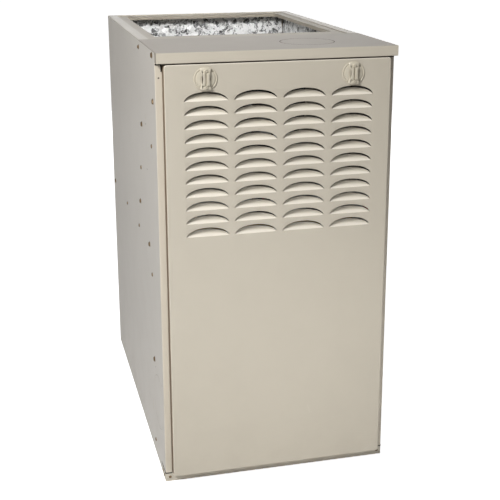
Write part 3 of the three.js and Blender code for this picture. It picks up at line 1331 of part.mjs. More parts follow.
function gasTrain() {
  const burners = cellPlaces().map((x, i) => piece(`burner_${i + 1}`, burner(x), 'aluminised'));
  return [
    piece('burner_bracket', burnerBracket(), 'galvanised'),
    ...burners,
    piece('gas_manifold', gasManifold(), 'brass'),
    piece('gas_valve', gasValve(), 'castAluminium'),
    piece('gas_valve_knob', gasValveKnob(), 'redPlastic'),
    piece('gas_supply_pipe', gasSupplyPipe(), 'blackPaint'),
    piece('gas_pipe_grommet', gasPipeGrommet(), 'rubber'),
    piece('igniter', igniter(), 'ceramic'),
    piece('flame_sensor', flameSensor(), 'ceramic'),
  ];
}

// ---- Safety switches and controls ------------------------------------------------------

const ROLLOUT_HEIGHT = BURNER_AXIS + BRACKET_RISE - 13;

/** The rollout switch on the bracket's front wall, with a bore for its reset button. */
function rolloutSwitch() {
  const rear = at(BRACKET_FRONT) - SHEET / 2 - GAP;
  const centre = [0, ROLLOUT_HEIGHT];
  const plate = extrude(roundedRectangle(
    [-19, 19], [ROLLOUT_HEIGHT - 8, ROLLOUT_HEIGHT + 8], 5), 'y', rear - 1, rear);
  const cup = revolve([
    [0, rear - 15], [7, rear - 15], [9, rear - 13], [10.5, rear - 9], [10.5, rear - 0.5], [0, rear - 0.5],
  ], 'y', centre, ROUND_FIT);
  const terminals = [-1, 1].map((side) => block(
    span(side, 9, 18), [rear - 7, rear - 6], [ROLLOUT_HEIGHT - 3, ROLLOUT_HEIGHT + 3]));
  const bore = rod('y', centre, SWITCH_BUTTON_RADIUS + GAP, rear - 16, rear - 5);
  return cut(join(plate, cup, terminals), bore);
}

function rolloutResetButton() {
  const rear = at(BRACKET_FRONT) - SHEET / 2 - GAP;
  const inside = rear - 5 - RESET_TRAVEL - GAP;
  const r = SWITCH_BUTTON_RADIUS;
  return revolve([
    [0, inside - 14], [r - 1.2, inside - 14], [r, inside - 13], [r, inside], [0, inside],
  ], 'y', [0, ROLLOUT_HEIGHT], ROUND_FIT);
}

/** The high-limit switch on the cell panel, between the burners and the collector. */
function limitSwitch() {
  const z = (BURNER_AXIS + CELL_OUTLET) / 2;
  const rear = at(CELL_PANEL_DEPTH - GAP);
  const plate = extrude(roundedRectangle([-21, 21], [z - 13, z + 13], 5), 'y', rear - 1.5, rear);
  const cup = revolve([
    [0, rear - 18], [10, rear - 18], [12.5, rear - 15], [12.5, rear - 1], [0, rear - 1],
  ], 'y', [0, z], ROUND_FIT);
  const terminals = [-1, 1].map((side) => block(
    span(side, 3, 9), [rear - 28, rear - 17], [z - 0.5, z + 0.5]));
  return join(plate, cup, terminals);
}

const PRESSURE_X = -128;
const NIPPLE_RADIUS = 3;
const NIPPLE_REACH = 54; // pressure switch nipple's tip in front of the cell panel
const NIPPLE_LENGTH = 12;
const HOSE_RADIUS = 5;
const HOSE_GRIP = 6; // hose pushed over a nipple
const pressureHeight = () => CELL_OUTLET + COLLECTOR_HALF_HEIGHT + 46;

/** The pressure switch: a bracket on the cell panel, two crimped shells and a nipple. */
function pressureSwitch() {
  const rear = at(CELL_PANEL_DEPTH - GAP);
  const z = pressureHeight();
  const plate = extrude(
    roundedRectangle([PRESSURE_X - 36, PRESSURE_X + 36], [z - 26, z + 26], 4), 'y', rear - 1.5, rear);
  const shells = revolve([
    [0, rear - 40], [9, rear - 40], [9, rear - 29], [31, rear - 20], [34, rear - 18],
    [34, rear - 14], [24, rear - 1], [0, rear - 1],
  ], 'y', [PRESSURE_X, z], ROUND_FIT);
  const nipple = rod('y', [PRESSURE_X, z], NIPPLE_RADIUS, rear - NIPPLE_REACH, rear - 38, 8);
  const terminals = [-15, 15].map((offset) => block(
    [PRESSURE_X + offset - 0.5, PRESSURE_X + offset + 0.5], [rear - 38, rear - 25], [z - 3, z + 3]));
  return join(plate, shells, nipple, terminals);
}

/** The place of the pressure tap on the inducer housing, in (x, z). */
const inducerTap = () => [INDUCER_X - 22, INDUCER_AXIS + 50];

/** The hose, pushed over the switch's nipple at one end and the inducer's tap at the other. */
function pressureHose() {
  const [tapX, tapZ] = inducerTap();
  const tips = [at(CELL_PANEL_DEPTH - GAP) - NIPPLE_REACH, at(INDUCER_FRONT) - NIPPLE_LENGTH];
  const start = new THREE.Vector3(PRESSURE_X, tips[0] + HOSE_GRIP, pressureHeight());
  const end = new THREE.Vector3(tapX, tips[1] + HOSE_GRIP, tapZ);
  const curve = new THREE.CubicBezierCurve3(
    start,
    start.clone().add(new THREE.Vector3(0, -110, 0)),
    end.clone().add(new THREE.Vector3(0, -70, 0)),
    end,
  );
  const hose = solid(new THREE.ExtrudeGeometry(
    new THREE.Shape(arcPoints([0, 0], HOSE_RADIUS, 8)),
    { steps: 9, bevelEnabled: false, extrudePath: curve },
  ));
  const bores = [start, end].map(({ x, y, z }) => rod(
    'y', [x, z], NIPPLE_RADIUS + GAP, y - HOSE_GRIP - GAP, y + 2, 8));
  return cut(hose, bores);
}

/** The interlock switch on the shelf, bored for its plunger, behind the door's striker. */
function doorSwitch() {
  const z = SHELF_HEIGHT + DOOR_SWITCH_RISE;
  const x = DOOR_SWITCH_X;
  const base = SHELF_TOP + GAP;
  const foot = block(
    [x - 22, x + 22], [at(SHELF_SETBACK + 4), at(SHELF_SETBACK + 32)], [base, base + SHEET]);
  const body = extrude(roundedRectangle(
    [x - 13, x + 13], [base + SHEET / 2, z + 13], 2), 'y', at(SHELF_SETBACK - 4), at(SHELF_SETBACK + 30));
  const collar = rod('y', [x, z], 7.5, at(SHELF_SETBACK - 7), at(SHELF_SETBACK - 3));
  const terminals = [-6, 6].map((offset) => block(
    [x + offset - 3, x + offset + 3],
    [at(SHELF_SETBACK + 29), at(SHELF_SETBACK + 38)],
    [z - 0.5, z + 0.5],
  ));
  const bore = rod(
    'y', [x, z], SWITCH_BUTTON_RADIUS + GAP, at(SHELF_SETBACK - 8), at(SHELF_SETBACK + 20));
  return cut(join(foot, body, collar, terminals), bore);
}

function doorSwitchPlunger() {
  const r = SWITCH_BUTTON_RADIUS;
  const tip = at(6) + SHEET / 2 + GAP;
  const tail = at(SHELF_SETBACK + 19);
  return revolve([
    [0, tip], [r - 1.2, tip], [r, tip + 1.2], [r, tail], [0, tail],
  ], 'y', [DOOR_SWITCH_X, SHELF_HEIGHT + DOOR_SWITCH_RISE], ROUND_FIT);
}

const CONTROL_LEFT = -188;
const CONTROL_RIGHT = 150;

/** The control tray under the shelf: it opens to the front and holds board and transformer. */
function controlBox() {
  const high = SHELF_HEIGHT - GAP;
  return tray(
    'y', [CONTROL_LEFT, CONTROL_RIGHT], [high - CONTROL_HEIGHT, high],
    at(CONTROL_DEPTH), at(CONTROL_DEPTH - 24), { corner: 5 });
}

/** The control board on its posts, with relays, connectors and terminal blocks. */
function controlBoard() {
  const floor = at(CONTROL_DEPTH) - SHEET - GAP;
  const low = SHELF_HEIGHT - CONTROL_HEIGHT + 14;
  const [x0, x1] = [CONTROL_LEFT + 14, CONTROL_LEFT + 194];
  const high = low + 118;
  const back = floor - 8;
  const board = block([x0, x1], [back - 1.6, back], [low, high]);
  const posts = [[x0 + 6, low + 6], [x1 - 6, low + 6], [x0 + 6, high - 6], [x1 - 6, high - 6]]
    .map((place) => rod('y', place, 3, back - 0.5, floor, 6));
  const relays = [0, 1, 2].map((i) => block(
    [x0 + 18 + i * 34, x0 + 44 + i * 34], [back - 20, back - 1], [high - 48, high - 18]));
  const connectors = [0, 1].map((i) => block(
    [x0 + 16 + i * 70, x0 + 66 + i * 70], [back - 12, back - 1], [low + 12, low + 22]));
  const strip = block([x1 - 46, x1 - 12], [back - 14, back - 1], [low + 40, low + 54]);
  const electrolytic = [0, 1].map((i) => rod(
    'y', [x1 - 40 + i * 18, high - 30], 7, back - 18, back - 1));
  return join(board, posts, relays, connectors, strip, electrolytic);
}

/** The transformer: a laminated core on its feet, with the winding through it. */
function transformer() {
  const floor = at(CONTROL_DEPTH) - SHEET - GAP;
  const x = CONTROL_RIGHT - 62;
  const z = SHELF_HEIGHT - CONTROL_HEIGHT / 2 - 6;
  const core = extrude(framed(
    roundedRectangle([x - 34, x + 34], [z - 28, z + 28], 3),
    roundedRectangle([x - 22, x + 22], [z - 14, z + 14], 1),
  ), 'y', floor - 30, floor - 2);
  const winding = extrude(
    roundedRectangle([x - 18, x + 18], [z - 15, z + 15], 4), 'y', floor - 38, floor - 3);
  const feet = block([x - 46, x + 46], [floor - 2.5, floor], [z - 28, z + 28]);
  return join(core, winding, feet);
}

/** The junction box on the left wall, its open side to the panel, with two scored entries. */
function junctionBox() {
  const wallFace = -(INNER - GAP);
  const face = wallFace + 46;
  const depths = [at(72), at(168)];
  const [low, high] = [SHELF_HEIGHT + 210, SHELF_HEIGHT + 292];
  const box = tray('x', depths, [low, high], face, wallFace, { corner: 4 });
  const entry = knockout(
    'y', [face - 22, (low + high) / 2], 11, depths[0] - 1, depths[0] + 3, { tabs: 2, steps: 10 });
  return cut(box, entry);
}

function controls() {
  return [
    piece('rollout_switch', rolloutSwitch(), 'blackPlastic'),
    piece('rollout_reset_button', rolloutResetButton(), 'redPlastic'),
    piece('limit_switch', limitSwitch(), 'blackPlastic'),
    piece('pressure_switch', pressureSwitch(), 'galvanised'),
    piece('pressure_hose', pressureHose(), 'rubber'),
    piece('door_switch', doorSwitch(), 'blackPlastic'),
    piece('door_switch_plunger', doorSwitchPlunger(), 'whitePlastic'),
    piece('control_box', controlBox(), 'galvanised'),
    piece('control_board', controlBoard(), 'circuitBoard'),
    piece('transformer', transformer(), 'copperWinding'),
    piece('junction_box', junctionBox(), 'galvanised'),
  ];
}

// ---- The furnace -----------------------------------------------------------------------

const furnace = new THREE.Group();
[cabinet, door, blower, heatExchanger, inducer, gasTrain, controls].forEach((assembly) => {
  const group = new THREE.Group();
  group.add(...assembly());
  furnace.add(group);
});

export default furnace;
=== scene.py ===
"""The looks of a forced air gas furnace: finishes, fine pieces, stage, lamps and camera."""

from __future__ import annotations

import json
import logging
import math
import random
from dataclasses import dataclass
from enum import Enum
from itertools import product
from typing import Any, Iterable, Mapping, Sequence

import bmesh
import bpy
from mathutils import Matrix, Vector, noise

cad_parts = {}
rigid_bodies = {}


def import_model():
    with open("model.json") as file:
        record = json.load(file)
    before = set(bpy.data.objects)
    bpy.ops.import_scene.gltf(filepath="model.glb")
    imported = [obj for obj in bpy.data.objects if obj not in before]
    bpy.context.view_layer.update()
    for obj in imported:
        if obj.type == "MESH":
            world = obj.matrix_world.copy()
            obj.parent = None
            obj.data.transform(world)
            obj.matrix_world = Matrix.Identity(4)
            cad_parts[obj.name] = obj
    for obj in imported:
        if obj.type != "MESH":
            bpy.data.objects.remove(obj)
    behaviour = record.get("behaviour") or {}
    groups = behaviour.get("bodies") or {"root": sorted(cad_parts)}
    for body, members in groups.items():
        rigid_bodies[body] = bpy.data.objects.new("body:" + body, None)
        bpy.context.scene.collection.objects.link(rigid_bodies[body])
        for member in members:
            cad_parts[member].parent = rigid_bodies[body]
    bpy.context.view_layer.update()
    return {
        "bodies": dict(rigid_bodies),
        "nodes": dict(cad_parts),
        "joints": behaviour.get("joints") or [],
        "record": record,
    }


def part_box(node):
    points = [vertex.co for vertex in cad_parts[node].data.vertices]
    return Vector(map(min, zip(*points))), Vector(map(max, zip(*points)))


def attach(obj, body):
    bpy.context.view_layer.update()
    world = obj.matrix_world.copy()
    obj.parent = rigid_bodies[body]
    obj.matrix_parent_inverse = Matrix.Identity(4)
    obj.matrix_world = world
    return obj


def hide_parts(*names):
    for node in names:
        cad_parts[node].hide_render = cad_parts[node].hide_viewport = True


LOG = logging.getLogger("furnace")
MM = 0.001
DOOR_FACE = -369 * MM
LATCH_SPREAD = 138 * MM
LATCH_HEIGHT = 798.5 * MM
LATCH_BORE = 5.3 * MM
CASING_FRONT = -349 * MM
CASING_HALF = 225 * MM

Point = Sequence[float]
Outline = Sequence[tuple[float, float]]
Colour = tuple[float, float, float]


class Body(Enum):
    """The bodies that the finer pieces ride on."""

    CASING = "casing"
    DOOR = "door"
    LATCH_LEFT = "latch_left"
    LATCH_RIGHT = "latch_right"


class Axis(Enum):
    """The directions in which a turned or pressed piece can face."""

    LEFT = (-1, 0, 0)
    RIGHT = (1, 0, 0)
    FRONT = (0, -1, 0)
    BACK = (0, 1, 0)
    UP = (0, 0, 1)

    def frame(self, place: Point, turn: float = 0.0) -> Matrix:
        """Makes the matrix that stands local +Z along this direction.

        Args:
            place: the origin of the frame, in metres.
            turn: a turn about the direction, in radians.

        Returns:
            The matrix from the local frame to the row frame.
        """
        lean = Vector((0, 0, 1)).rotation_difference(Vector(self.value)).to_matrix().to_4x4()
        return Matrix.Translation(Vector(place)) @ lean @ Matrix.Rotation(turn, 4, "Z")


def linear(value: int) -> float:
    """Turns an 8-bit channel of a display colour into a linear one, along the sRGB curve."""
    share = value / 255
    return share / 12.92 if share <= 0.04045 else ((share + 0.055) / 1.055) ** 2.4


def srgb(red: int, green: int, blue: int) -> Colour:
    """Turns an 8-bit display colour into a linear one."""
    return (linear(red), linear(green), linear(blue))


# ---- Shaders -----------------------------------------------------------------------------


class Value:
    """A value that an output socket carries, with arithmetic that adds Math nodes."""

    def __init__(self, shader: Shader, socket: bpy.types.NodeSocket) -> None:
        """Keeps the socket and the shader that it belongs to."""
        self.shader = shader
        self.socket = socket

    def _maths(self, operation: str, first: Any, second: Any) -> Value:
        """Adds one Math node on two values."""
        return self.shader.node("ShaderNodeMath", {"operation": operation}, {0: first, 1: second})

    def __add__(self, other: Any) -> Value:
        """Adds."""
        return self._maths("ADD", self, other)

    def __radd__(self, other: Any) -> Value:
        """Adds, from the right."""
        return self._maths("ADD", other, self)

    def __sub__(self, other: Any) -> Value:
        """Subtracts."""
        return self._maths("SUBTRACT", self, other)

    def __rsub__(self, other: Any) -> Value:
        """Subtracts, from the right."""
        return self._maths("SUBTRACT", other, self)

    def __mul__(self, other: Any) -> Value:
        """Multiplies."""
        return self._maths("MULTIPLY", self, other)

    def __rmul__(self, other: Any) -> Value:
        """Multiplies, from the right."""
        return self._maths("MULTIPLY", other, self)

    def __truediv__(self, other: Any) -> Value:
        """Divides."""
        return self._maths("DIVIDE", self, other)

    def __rtruediv__(self, other: Any) -> Value:
        """Divides, from the right."""
        return self._maths("DIVIDE", other, self)


class Shader:
    """The node tree of one material or world."""

    def __init__(self, owner: bpy.types.Material | bpy.types.World) -> None:
        """Empties the tree of a material or world.

        Args:
            owner: the material or world.
        """
        owner.use_nodes = True
        self.owner = owner
        self.tree = owner.node_tree
        self.tree.nodes.clear()
        self._coords: Value | None = None

    def add(self, kind: str, settings: Mapping[str, Any] | None = None,
            sockets: Mapping[int | str, Any] | None = None) -> bpy.types.Node:
        """Adds a node and sets it up.

        Args:
            kind: the node's type.
            settings: its properties, set first; "stops" are a ramp's places and colours.
            sockets: values or links of its inputs, by name or number.

        Returns:
            The node.
        """
        made = self.tree.nodes.new(kind)
        for key, setting in (settings or {}).items():
            if key == "stops":
                self._ramp(made.color_ramp, setting)
            else:
                setattr(made, key, setting)
        for key, given in (sockets or {}).items():
            self.feed(made.inputs[key], given)
        return made

    def node(self, kind: str, settings: Mapping[str, Any] | None = None,
             sockets: Mapping[int | str, Any] | None = None, output: int | str = 0) -> Value:
        """Adds a node and gives one of its outputs, by name or number."""
        return Value(self, self.add(kind, settings, sockets).outputs[output])

    def _ramp(self, ramp: bpy.types.ColorRamp, stops: Sequence[tuple[float, Any]]) -> None:
        """Sets a colour ramp's stops.

        Args:
            ramp: the ramp, which has two stops to begin with.
            stops: places from 0 to 1, each with a grey level or a colour.
        """
        for index, (place, colour) in enumerate(stops):
            stop = ramp.elements[index] if index < 2 else ramp.elements.new(place)
            stop.position = place
            grey = colour if isinstance(colour, tuple) else (colour,) * 3
            stop.color = (*grey[:3], 1.0)

    def feed(self, socket: bpy.types.NodeSocket, given: Any) -> None:
        """Links a value to a socket, or sets a number or colour on it.

        Args:
            socket: the input.
            given: the value, number, vector or colour for it.
        """
        if isinstance(given, Value):
            self.tree.links.new(given.socket, socket)
        elif isinstance(given, tuple) and socket.type == "RGBA":
            socket.default_value = (*given[:3], 1.0)
        else:
            socket.default_value = given

    def coords(self) -> Value:
        """Gives the object's own coordinates, in metres."""
        if self._coords is None:
            self._coords = self.node("ShaderNodeTexCoord", output="Object")
        return self._coords

    def stretched(self, x: float, y: float, z: float) -> Value:
        """Gives the coordinates stretched by a factor on each axis."""
        return self.node(
            "ShaderNodeVectorMath", {"operation": "MULTIPLY"}, {0: self.coords(), 1: (x, y, z)})

    def along(self, name: str) -> Value:
        """Gives one coordinate, "X", "Y" or "Z", in metres."""
        return self.node("ShaderNodeSeparateXYZ", None, {0: self.coords()}, name)

    def noise(self, scale: float, detail: float = 2.0, rough: float = 0.5, at: Value | None = None,
              bend: float = 0.0) -> Value:
        """Gives noise from 0 to 1.

        Args:
            scale: blotches in a metre.
            detail: octaves.
            rough: how strong the finer octaves are.
            at: coordinates, if not the object's own.
            bend: how far the noise distorts itself.

        Returns:
            The noise.
        """
        return self.node("ShaderNodeTexNoise", None, {
            "Vector": at or self.coords(), "Scale": scale, "Detail": detail, "Roughness": rough,
            "Distortion": bend}, "Fac")

    def cells(self, scale: float, output: str = "Color", feature: str = "F1",
              at: Value | None = None) -> Value:
        """Gives a cell pattern: its colour, or the distance that its feature names."""
        return self.node("ShaderNodeTexVoronoi", {"feature": feature}, {
            "Vector": at or self.coords(), "Scale": scale}, output)

    def channel(self, colour: Value, name: str) -> Value:
        """Gives one channel of a colour, "Red", "Green" or "Blue"."""
        return self.node("ShaderNodeSeparateColor", None, {0: colour}, name)

    def warped(self, scale: float, reach: float, detail: float = 2.0) -> Value:
        """Gives the coordinates pushed about by noise.

        Args:
            scale: blotches in a metre.
            reach: how far a point is pushed at most, in metres.
            detail: octaves.

        Returns:
            The coordinates.
        """
        push = self.node("ShaderNodeTexNoise", None, {
            "Vector": self.coords(), "Scale": scale, "Detail": detail}, "Color")
        short = self.node("ShaderNodeVectorMath", {"operation": "SCALE"}, {0: push, "Scale": reach})
        return self.node("ShaderNodeVectorMath", {"operation": "ADD"}, {0: self.coords(), 1: short})

    def ramp(self, factor: Value, *stops: tuple[float, Any], soft: bool = False) -> Value:
        """Sends a factor through a ramp of grey levels or colours.

        Args:
            factor: the value to send through.
            stops: places from 0 to 1, each with a grey level or a colour.
            soft: whether the ramp eases between its stops.

        Returns:
            The ramp's colour.
        """
        made = self.node("ShaderNodeValToRGB", {"stops": stops}, {0: factor}, "Color")
        if soft:
            made.socket.node.color_ramp.interpolation = "EASE"
        return made

    def between(self, factor: Value, low: float, high: float) -> Value:
        """Gives 0 where a factor is below `low` and 1 where it is above `high`."""
        return self.ramp(factor, (low, 0.0), (high, 1.0))

    def mix(self, factor: Any, first: Any, second: Any, blend: str = "MIX") -> Value:
        """Mixes two colours; the node's inputs 6 and 7 and its output 2 are the colour ones."""
        return self.node(
            "ShaderNodeMix", {"data_type": "RGBA", "blend_type": blend, "clamp_factor": True},
            {0: factor, 6: first, 7: second}, 2)

    def toned(self, colour: Any, tone: Value) -> Value:
        """Multiplies a colour by a tone."""
        return self.mix(1.0, colour, tone, "MULTIPLY")

    def bump(self, height: Value, depth: float, strength: float = 1.0,
             under: Value | None = None) -> Value:
        """Turns a height into a normal.

        Args:
            height: the height, from 0 to 1.
            depth: what a height of 1 stands for, in metres.
            strength: the share of the effect that is used.
            under: a normal that it goes on top of.

        Returns:
            The normal.
        """
        sockets: dict[int | str, Any] = {"Height": height, "Distance": depth, "Strength": strength}
        if under is not None:
            sockets["Normal"] = under
        return self.node("ShaderNodeBump", None, sockets, "Normal")

    def finish(self, **sockets: Any) -> bpy.types.Material:
        """Ends the material in a Principled shader.

        Args:
            sockets: its inputs, with an underscore for each space.

        Returns:
            The material.
        """
        named = {key.replace("_", " "): given for key, given in sockets.items()}
        self.end(self.node("ShaderNodeBsdfPrincipled", None, named))
        return self.owner

    def end(self, surface: Value, output: str = "ShaderNodeOutputMaterial") -> None:
        """Ends the tree in a surface, at an output of that type."""
        self.add(output, None, {"Surface": surface})


# ---- Finishes ----------------------------------------------------------------------------


@dataclass(frozen=True)
class Finish:
    """A finish that makes its material once."""

    name: str

    def dress(self, shader: Shader) -> bpy.types.Material:
        """Builds the shader; each kind of finish does so in its own way.

        Args:
            shader: the empty tree of the finish's material.

        Returns:
            The material.
        """
        raise NotImplementedError

    def material(self) -> bpy.types.Material:
        """Gives the material, made on first use."""
        return bpy.data.materials.get(self.name) or self.dress(
            Shader(bpy.data.materials.new(self.name)))


@dataclass(frozen=True)
class Enamel(Finish):
    """Baked paint on sheet steel: a faint orange peel, cloudy tone, dust and small scuffs.

    Attributes:
        colour: the paint's colour.
        roughness: how matt it is.
        cloud: how far its tone drifts.
        dust: how much dust lies on it, most of it low down.
        peel: the height of the orange peel, in metres.
        coat: the weight of the gloss coat.
        fronts: the colour painted on what faces the front, if it is another: painted light that stands
            in for how the lamps fall on it.
        tops: the colour painted on what faces up, if it is another: painted light, a painted highlight
            or painted shade.
        dusty: the colour of the dust.
        scuffed: the colour of the scuffs.
    """

    colour: Colour = (0.5, 0.45, 0.38)
    roughness: float = 0.36
    cloud: float = 0.035
    dust: float = 0.10
    peel: float = 0.00003
    coat: float = 0.15
    fronts: Colour | None = None
    tops: Colour | None = None
    dusty: Colour = srgb(122, 112, 98)
    scuffed: Colour = srgb(228, 222, 210)

    def dress(self, shader: Shader) -> bpy.types.Material:
        """Builds the paint's shader.

        Args:
            shader: the empty tree of the finish's material.

        Returns:
            The material.
        """
        broad = shader.noise(3.2, 3.0, 0.55)
        grain = shader.noise(900.0, 1.0)
        tone = 1.0 - self.cloud + (broad * 2.0 * self.cloud) + (grain - 0.5) * 0.02
        paint: Any = self.colour
        # Painted light: faces towards the front and faces up take other colours, standing in for how the
        # lamps fall on them.
        for shade, axis, sign in ((self.fronts, "Y", -1.0), (self.tops, "Z", 1.0)):
            if shade:
                normal = shader.node("ShaderNodeNewGeometry", output="Normal")
                facing = shader.node("ShaderNodeSeparateXYZ", None, {0: normal}, axis) * sign
                paint = shader.mix(shader.between(facing, 0.4, 0.8), paint, shade)
        base = shader.toned(paint, tone)
        height = shader.along("Z")
        settled = shader.ramp(height, (0.0, 1.0), (0.12, 0.25), (0.5, 0.0), soft=True)
        patchy = shader.between(shader.noise(14.0, 4.0, 0.6), 0.42, 0.72)
        dust = (settled * 0.6 + 0.25) * patchy * self.dust
        base = shader.mix(dust, base, self.dusty)
        scratch = shader.cells(26.0, "Distance", "DISTANCE_TO_EDGE", shader.stretched(0.35, 1.0, 2.2))
        rare = shader.between(shader.noise(7.0, 2.0), 0.60, 0.66)
        scuff = shader.ramp(scratch, (0.0, 1.0), (0.010, 0.0)) * rare * 0.14
        base = shader.mix(scuff, base, self.scuffed)
        rough = self.roughness + (broad - 0.5) * 0.10 + dust * 0.8 + scuff * 0.5
        peel = shader.bump(shader.noise(420.0, 2.0, 0.45), self.peel, 0.6)
        waves = shader.bump(shader.noise(5.5, 1.0), 0.0012, 0.25, peel)
        return shader.finish(
            Base_Color=base, Roughness=rough, Normal=waves, Coat_Weight=self.coat,
            Coat_Roughness=0.22)


@dataclass(frozen=True)
class Galvanised(Finish):
    """Zinc-coated sheet with its spangle, faint rolling lines and dull patches."""

    colour: Colour = (0.52, 0.54, 0.55)
    spangle: float = 95.0
    contrast: float = 0.16
    dull: float = 0.42
    grimy: Colour = srgb(112, 106, 98)

    def dress(self, shader: Shader) -> bpy.types.Material:
        """Builds the zinc's shader.

        Args:
            shader: the empty tree of the finish's material.

        Returns:
            The material.
        """
        flake = shader.channel(shader.cells(self.spangle, at=shader.warped(160.0, 0.006)), "Red")
        dim = shader.noise(6.0, 3.0)
        tone = (1.0 - self.contrast) + flake * self.contrast + (dim - 0.5) * 0.12
        base = shader.toned(self.colour, tone)
        grime = shader.between(shader.noise(11.0, 5.0, 0.65), 0.55, 0.8) * 0.28
        base = shader.mix(grime, base, self.grimy)
        lines = shader.noise(60.0, 2.0, at=shader.stretched(1.0, 1.0, 16.0))
        rough = self.dull - 0.08 + flake * 0.16 + grime * 0.4 + (lines - 0.5) * 0.06
        relief = shader.bump(flake + lines * 0.3, 0.00006, 0.5)
        return shader.finish(
            Base_Color=base, Roughness=rough, Metallic=0.88 - grime * 0.5, Normal=relief)


@dataclass(frozen=True)
class HeatedSteel(Finish):
    """Aluminised sheet, matt and cloudy, straw and brown where the flame heats it."""

    colour: Colour = (0.50, 0.49, 0.47)
    hot_from: float = 0.18
    hot_to: float = -0.14
    low_from: float = 0.66
    pale: Colour = srgb(188, 186, 180)
    straw: Colour = srgb(176, 160, 128)
    brown: Colour = srgb(128, 104, 84)
    scorched: Colour = srgb(92, 84, 86)
    rusty: Colour = srgb(118, 74, 46)

    def dress(self, shader: Shader) -> bpy.types.Material:
        """Builds the sheet's shader.

        Args:
            shader: the empty tree of the finish's material.

        Returns:
            The material.
        """
        cloud = shader.noise(18.0, 5.0, 0.6)
        fine = shader.noise(260.0, 2.0)
        base = shader.toned(self.colour, 0.86 + cloud * 0.2 + fine * 0.06)
        reach = (shader.along("Y") - self.hot_from) / (self.hot_to - self.hot_from)
        low = (self.low_from - shader.along("Z")) * 4.0
        heat = shader.between(reach * 0.7 + low * 0.25 + (cloud - 0.5) * 0.5, 0.3, 1.0)
        tint = shader.ramp(heat, (0.0, self.pale), (0.45, self.straw), (0.8, self.brown),
                           (1.0, self.scorched))
        base = shader.mix(heat * 0.75, base, tint)
        rust = shader.between(shader.noise(34.0, 6.0, 0.7), 0.62, 0.75) * 0.35
        base = shader.mix(rust, base, self.rusty)
        return shader.finish(
            Base_Color=base, Roughness=0.46 + cloud * 0.12 + rust * 0.3, Metallic=0.8 - rust,
            Normal=shader.bump(fine * 0.6 + cloud, 0.00018, 0.5))


@dataclass(frozen=True)
class Foil(Finish):
    """Bright aluminium foil, crumpled over insulation, its facets toned from dark to white as a painted
    reflection.
    """

    colour: Colour = (0.97, 0.97, 0.96)

    def dress(self, shader: Shader) -> bpy.types.Material:
        """Builds the foil's shader.

        Args:
            shader: the empty tree of the finish's material.

        Returns:
            The material.
        """
        bent = shader.warped(70.0, 0.014, 3.0)
        facet = shader.channel(shader.cells(105.0, at=bent), "Red")
        small = shader.channel(shader.cells(310.0, at=bent), "Green")
        # Painted reflection: facets toned from near black to white stand in for the foil's glints and
        # dark reflections.
        tone = shader.ramp(facet * 0.6 + small * 0.4, (0.16, 0.07), (0.32, 0.40), (0.46, 0.85),
                           (0.62, 1.0))
        base = shader.toned(self.colour, tone)
        height = facet * 0.6 + small * 0.25 + shader.noise(480.0, 3.0) * 0.2
        return shader.finish(
            Base_Color=base, Roughness=0.3 + facet * 0.2, Metallic=0.25,
            Normal=shader.bump(height, 0.0012, 0.7))


@dataclass(frozen=True)
class Moulded(Finish):
    """Moulded plastic or rubber: a fine spark texture, faint flow marks and rougher patches in its worn
    colour.
    """

    colour: Colour = (0.05, 0.05, 0.05)
    roughness: float = 0.42
    grain: float = 0.00003
    worn: Colour = (0.2, 0.2, 0.2)

    def dress(self, shader: Shader) -> bpy.types.Material:
        """Builds the plastic's shader.

        Args:
            shader: the empty tree of the finish's material.

        Returns:
            The material.
        """
        flow = shader.noise(45.0, 3.0, 0.5, bend=1.5)
        spark = shader.noise(1500.0, 2.0)
        base = shader.toned(self.colour, 0.93 + flow * 0.14)
        dust = shader.between(shader.noise(70.0, 4.0, 0.65), 0.55, 0.8) * 0.16
        base = shader.mix(dust, base, self.worn)
        return shader.finish(
            Base_Color=base, Roughness=self.roughness + (flow - 0.5) * 0.12 + dust,
            Normal=shader.bump(spark, self.grain, 0.6))


@dataclass(frozen=True)
class BareMetal(Finish):
    """Bare metal: cast, drawn or turned, with a grain along one axis and a little tarnish."""

    colour: Colour = (0.6, 0.6, 0.6)
    roughness: float = 0.34
    grain: tuple[float, float, float] = (1.0, 1.0, 1.0)
    scale: float = 320.0
    relief: float = 0.0001
    tarnish: Colour = (0.2, 0.18, 0.15)
    tarnished: float = 0.3

    def dress(self, shader: Shader) -> bpy.types.Material:
        """Builds the metal's shader.

        Args:
            shader: the empty tree of the finish's material.

        Returns:
            The material.
        """
        lines = shader.noise(self.scale, 3.0, 0.6, shader.stretched(*self.grain))
        blotch = shader.noise(24.0, 4.0, 0.6)
        base = shader.toned(self.colour, 0.86 + lines * 0.16 + (blotch - 0.5) * 0.14)
        dirt = shader.between(blotch, 0.52, 0.78) * self.tarnished
        base = shader.mix(dirt, base, self.tarnish)
        return shader.finish(
            Base_Color=base, Roughness=self.roughness + lines * 0.12 + dirt * 0.4,
            Metallic=0.95 - dirt * 0.6, Normal=shader.bump(lines, self.relief, 0.6))


@dataclass(frozen=True)
class Ceramic(Finish):
    """Unglazed insulator ceramic, speckled, with soot near the flame."""

    colour: Colour = (0.72, 0.68, 0.58)
    speckled: Colour = srgb(120, 104, 84)
    sooty: Colour = srgb(58, 50, 46)

    def dress(self, shader: Shader) -> bpy.types.Material:
        """Builds the ceramic's shader.

        Args:
            shader: the empty tree of the finish's material.

        Returns:
            The material.
        """
        speck = shader.between(shader.noise(900.0, 2.0), 0.62, 0.7) * 0.3
        base = shader.mix(speck, self.colour, self.speckled)
        near = shader.along("Y") * 10.0 + 2.35 + shader.noise(120.0) * 0.4
        soot = shader.between(near, 0.5, 1.0) * 0.7
        base = shader.mix(soot, base, self.sooty)
        return shader.finish(
            Base_Color=base, Roughness=0.62 + speck * 0.4,
            Normal=shader.bump(shader.noise(1200.0, 2.0), 0.00004, 0.7))


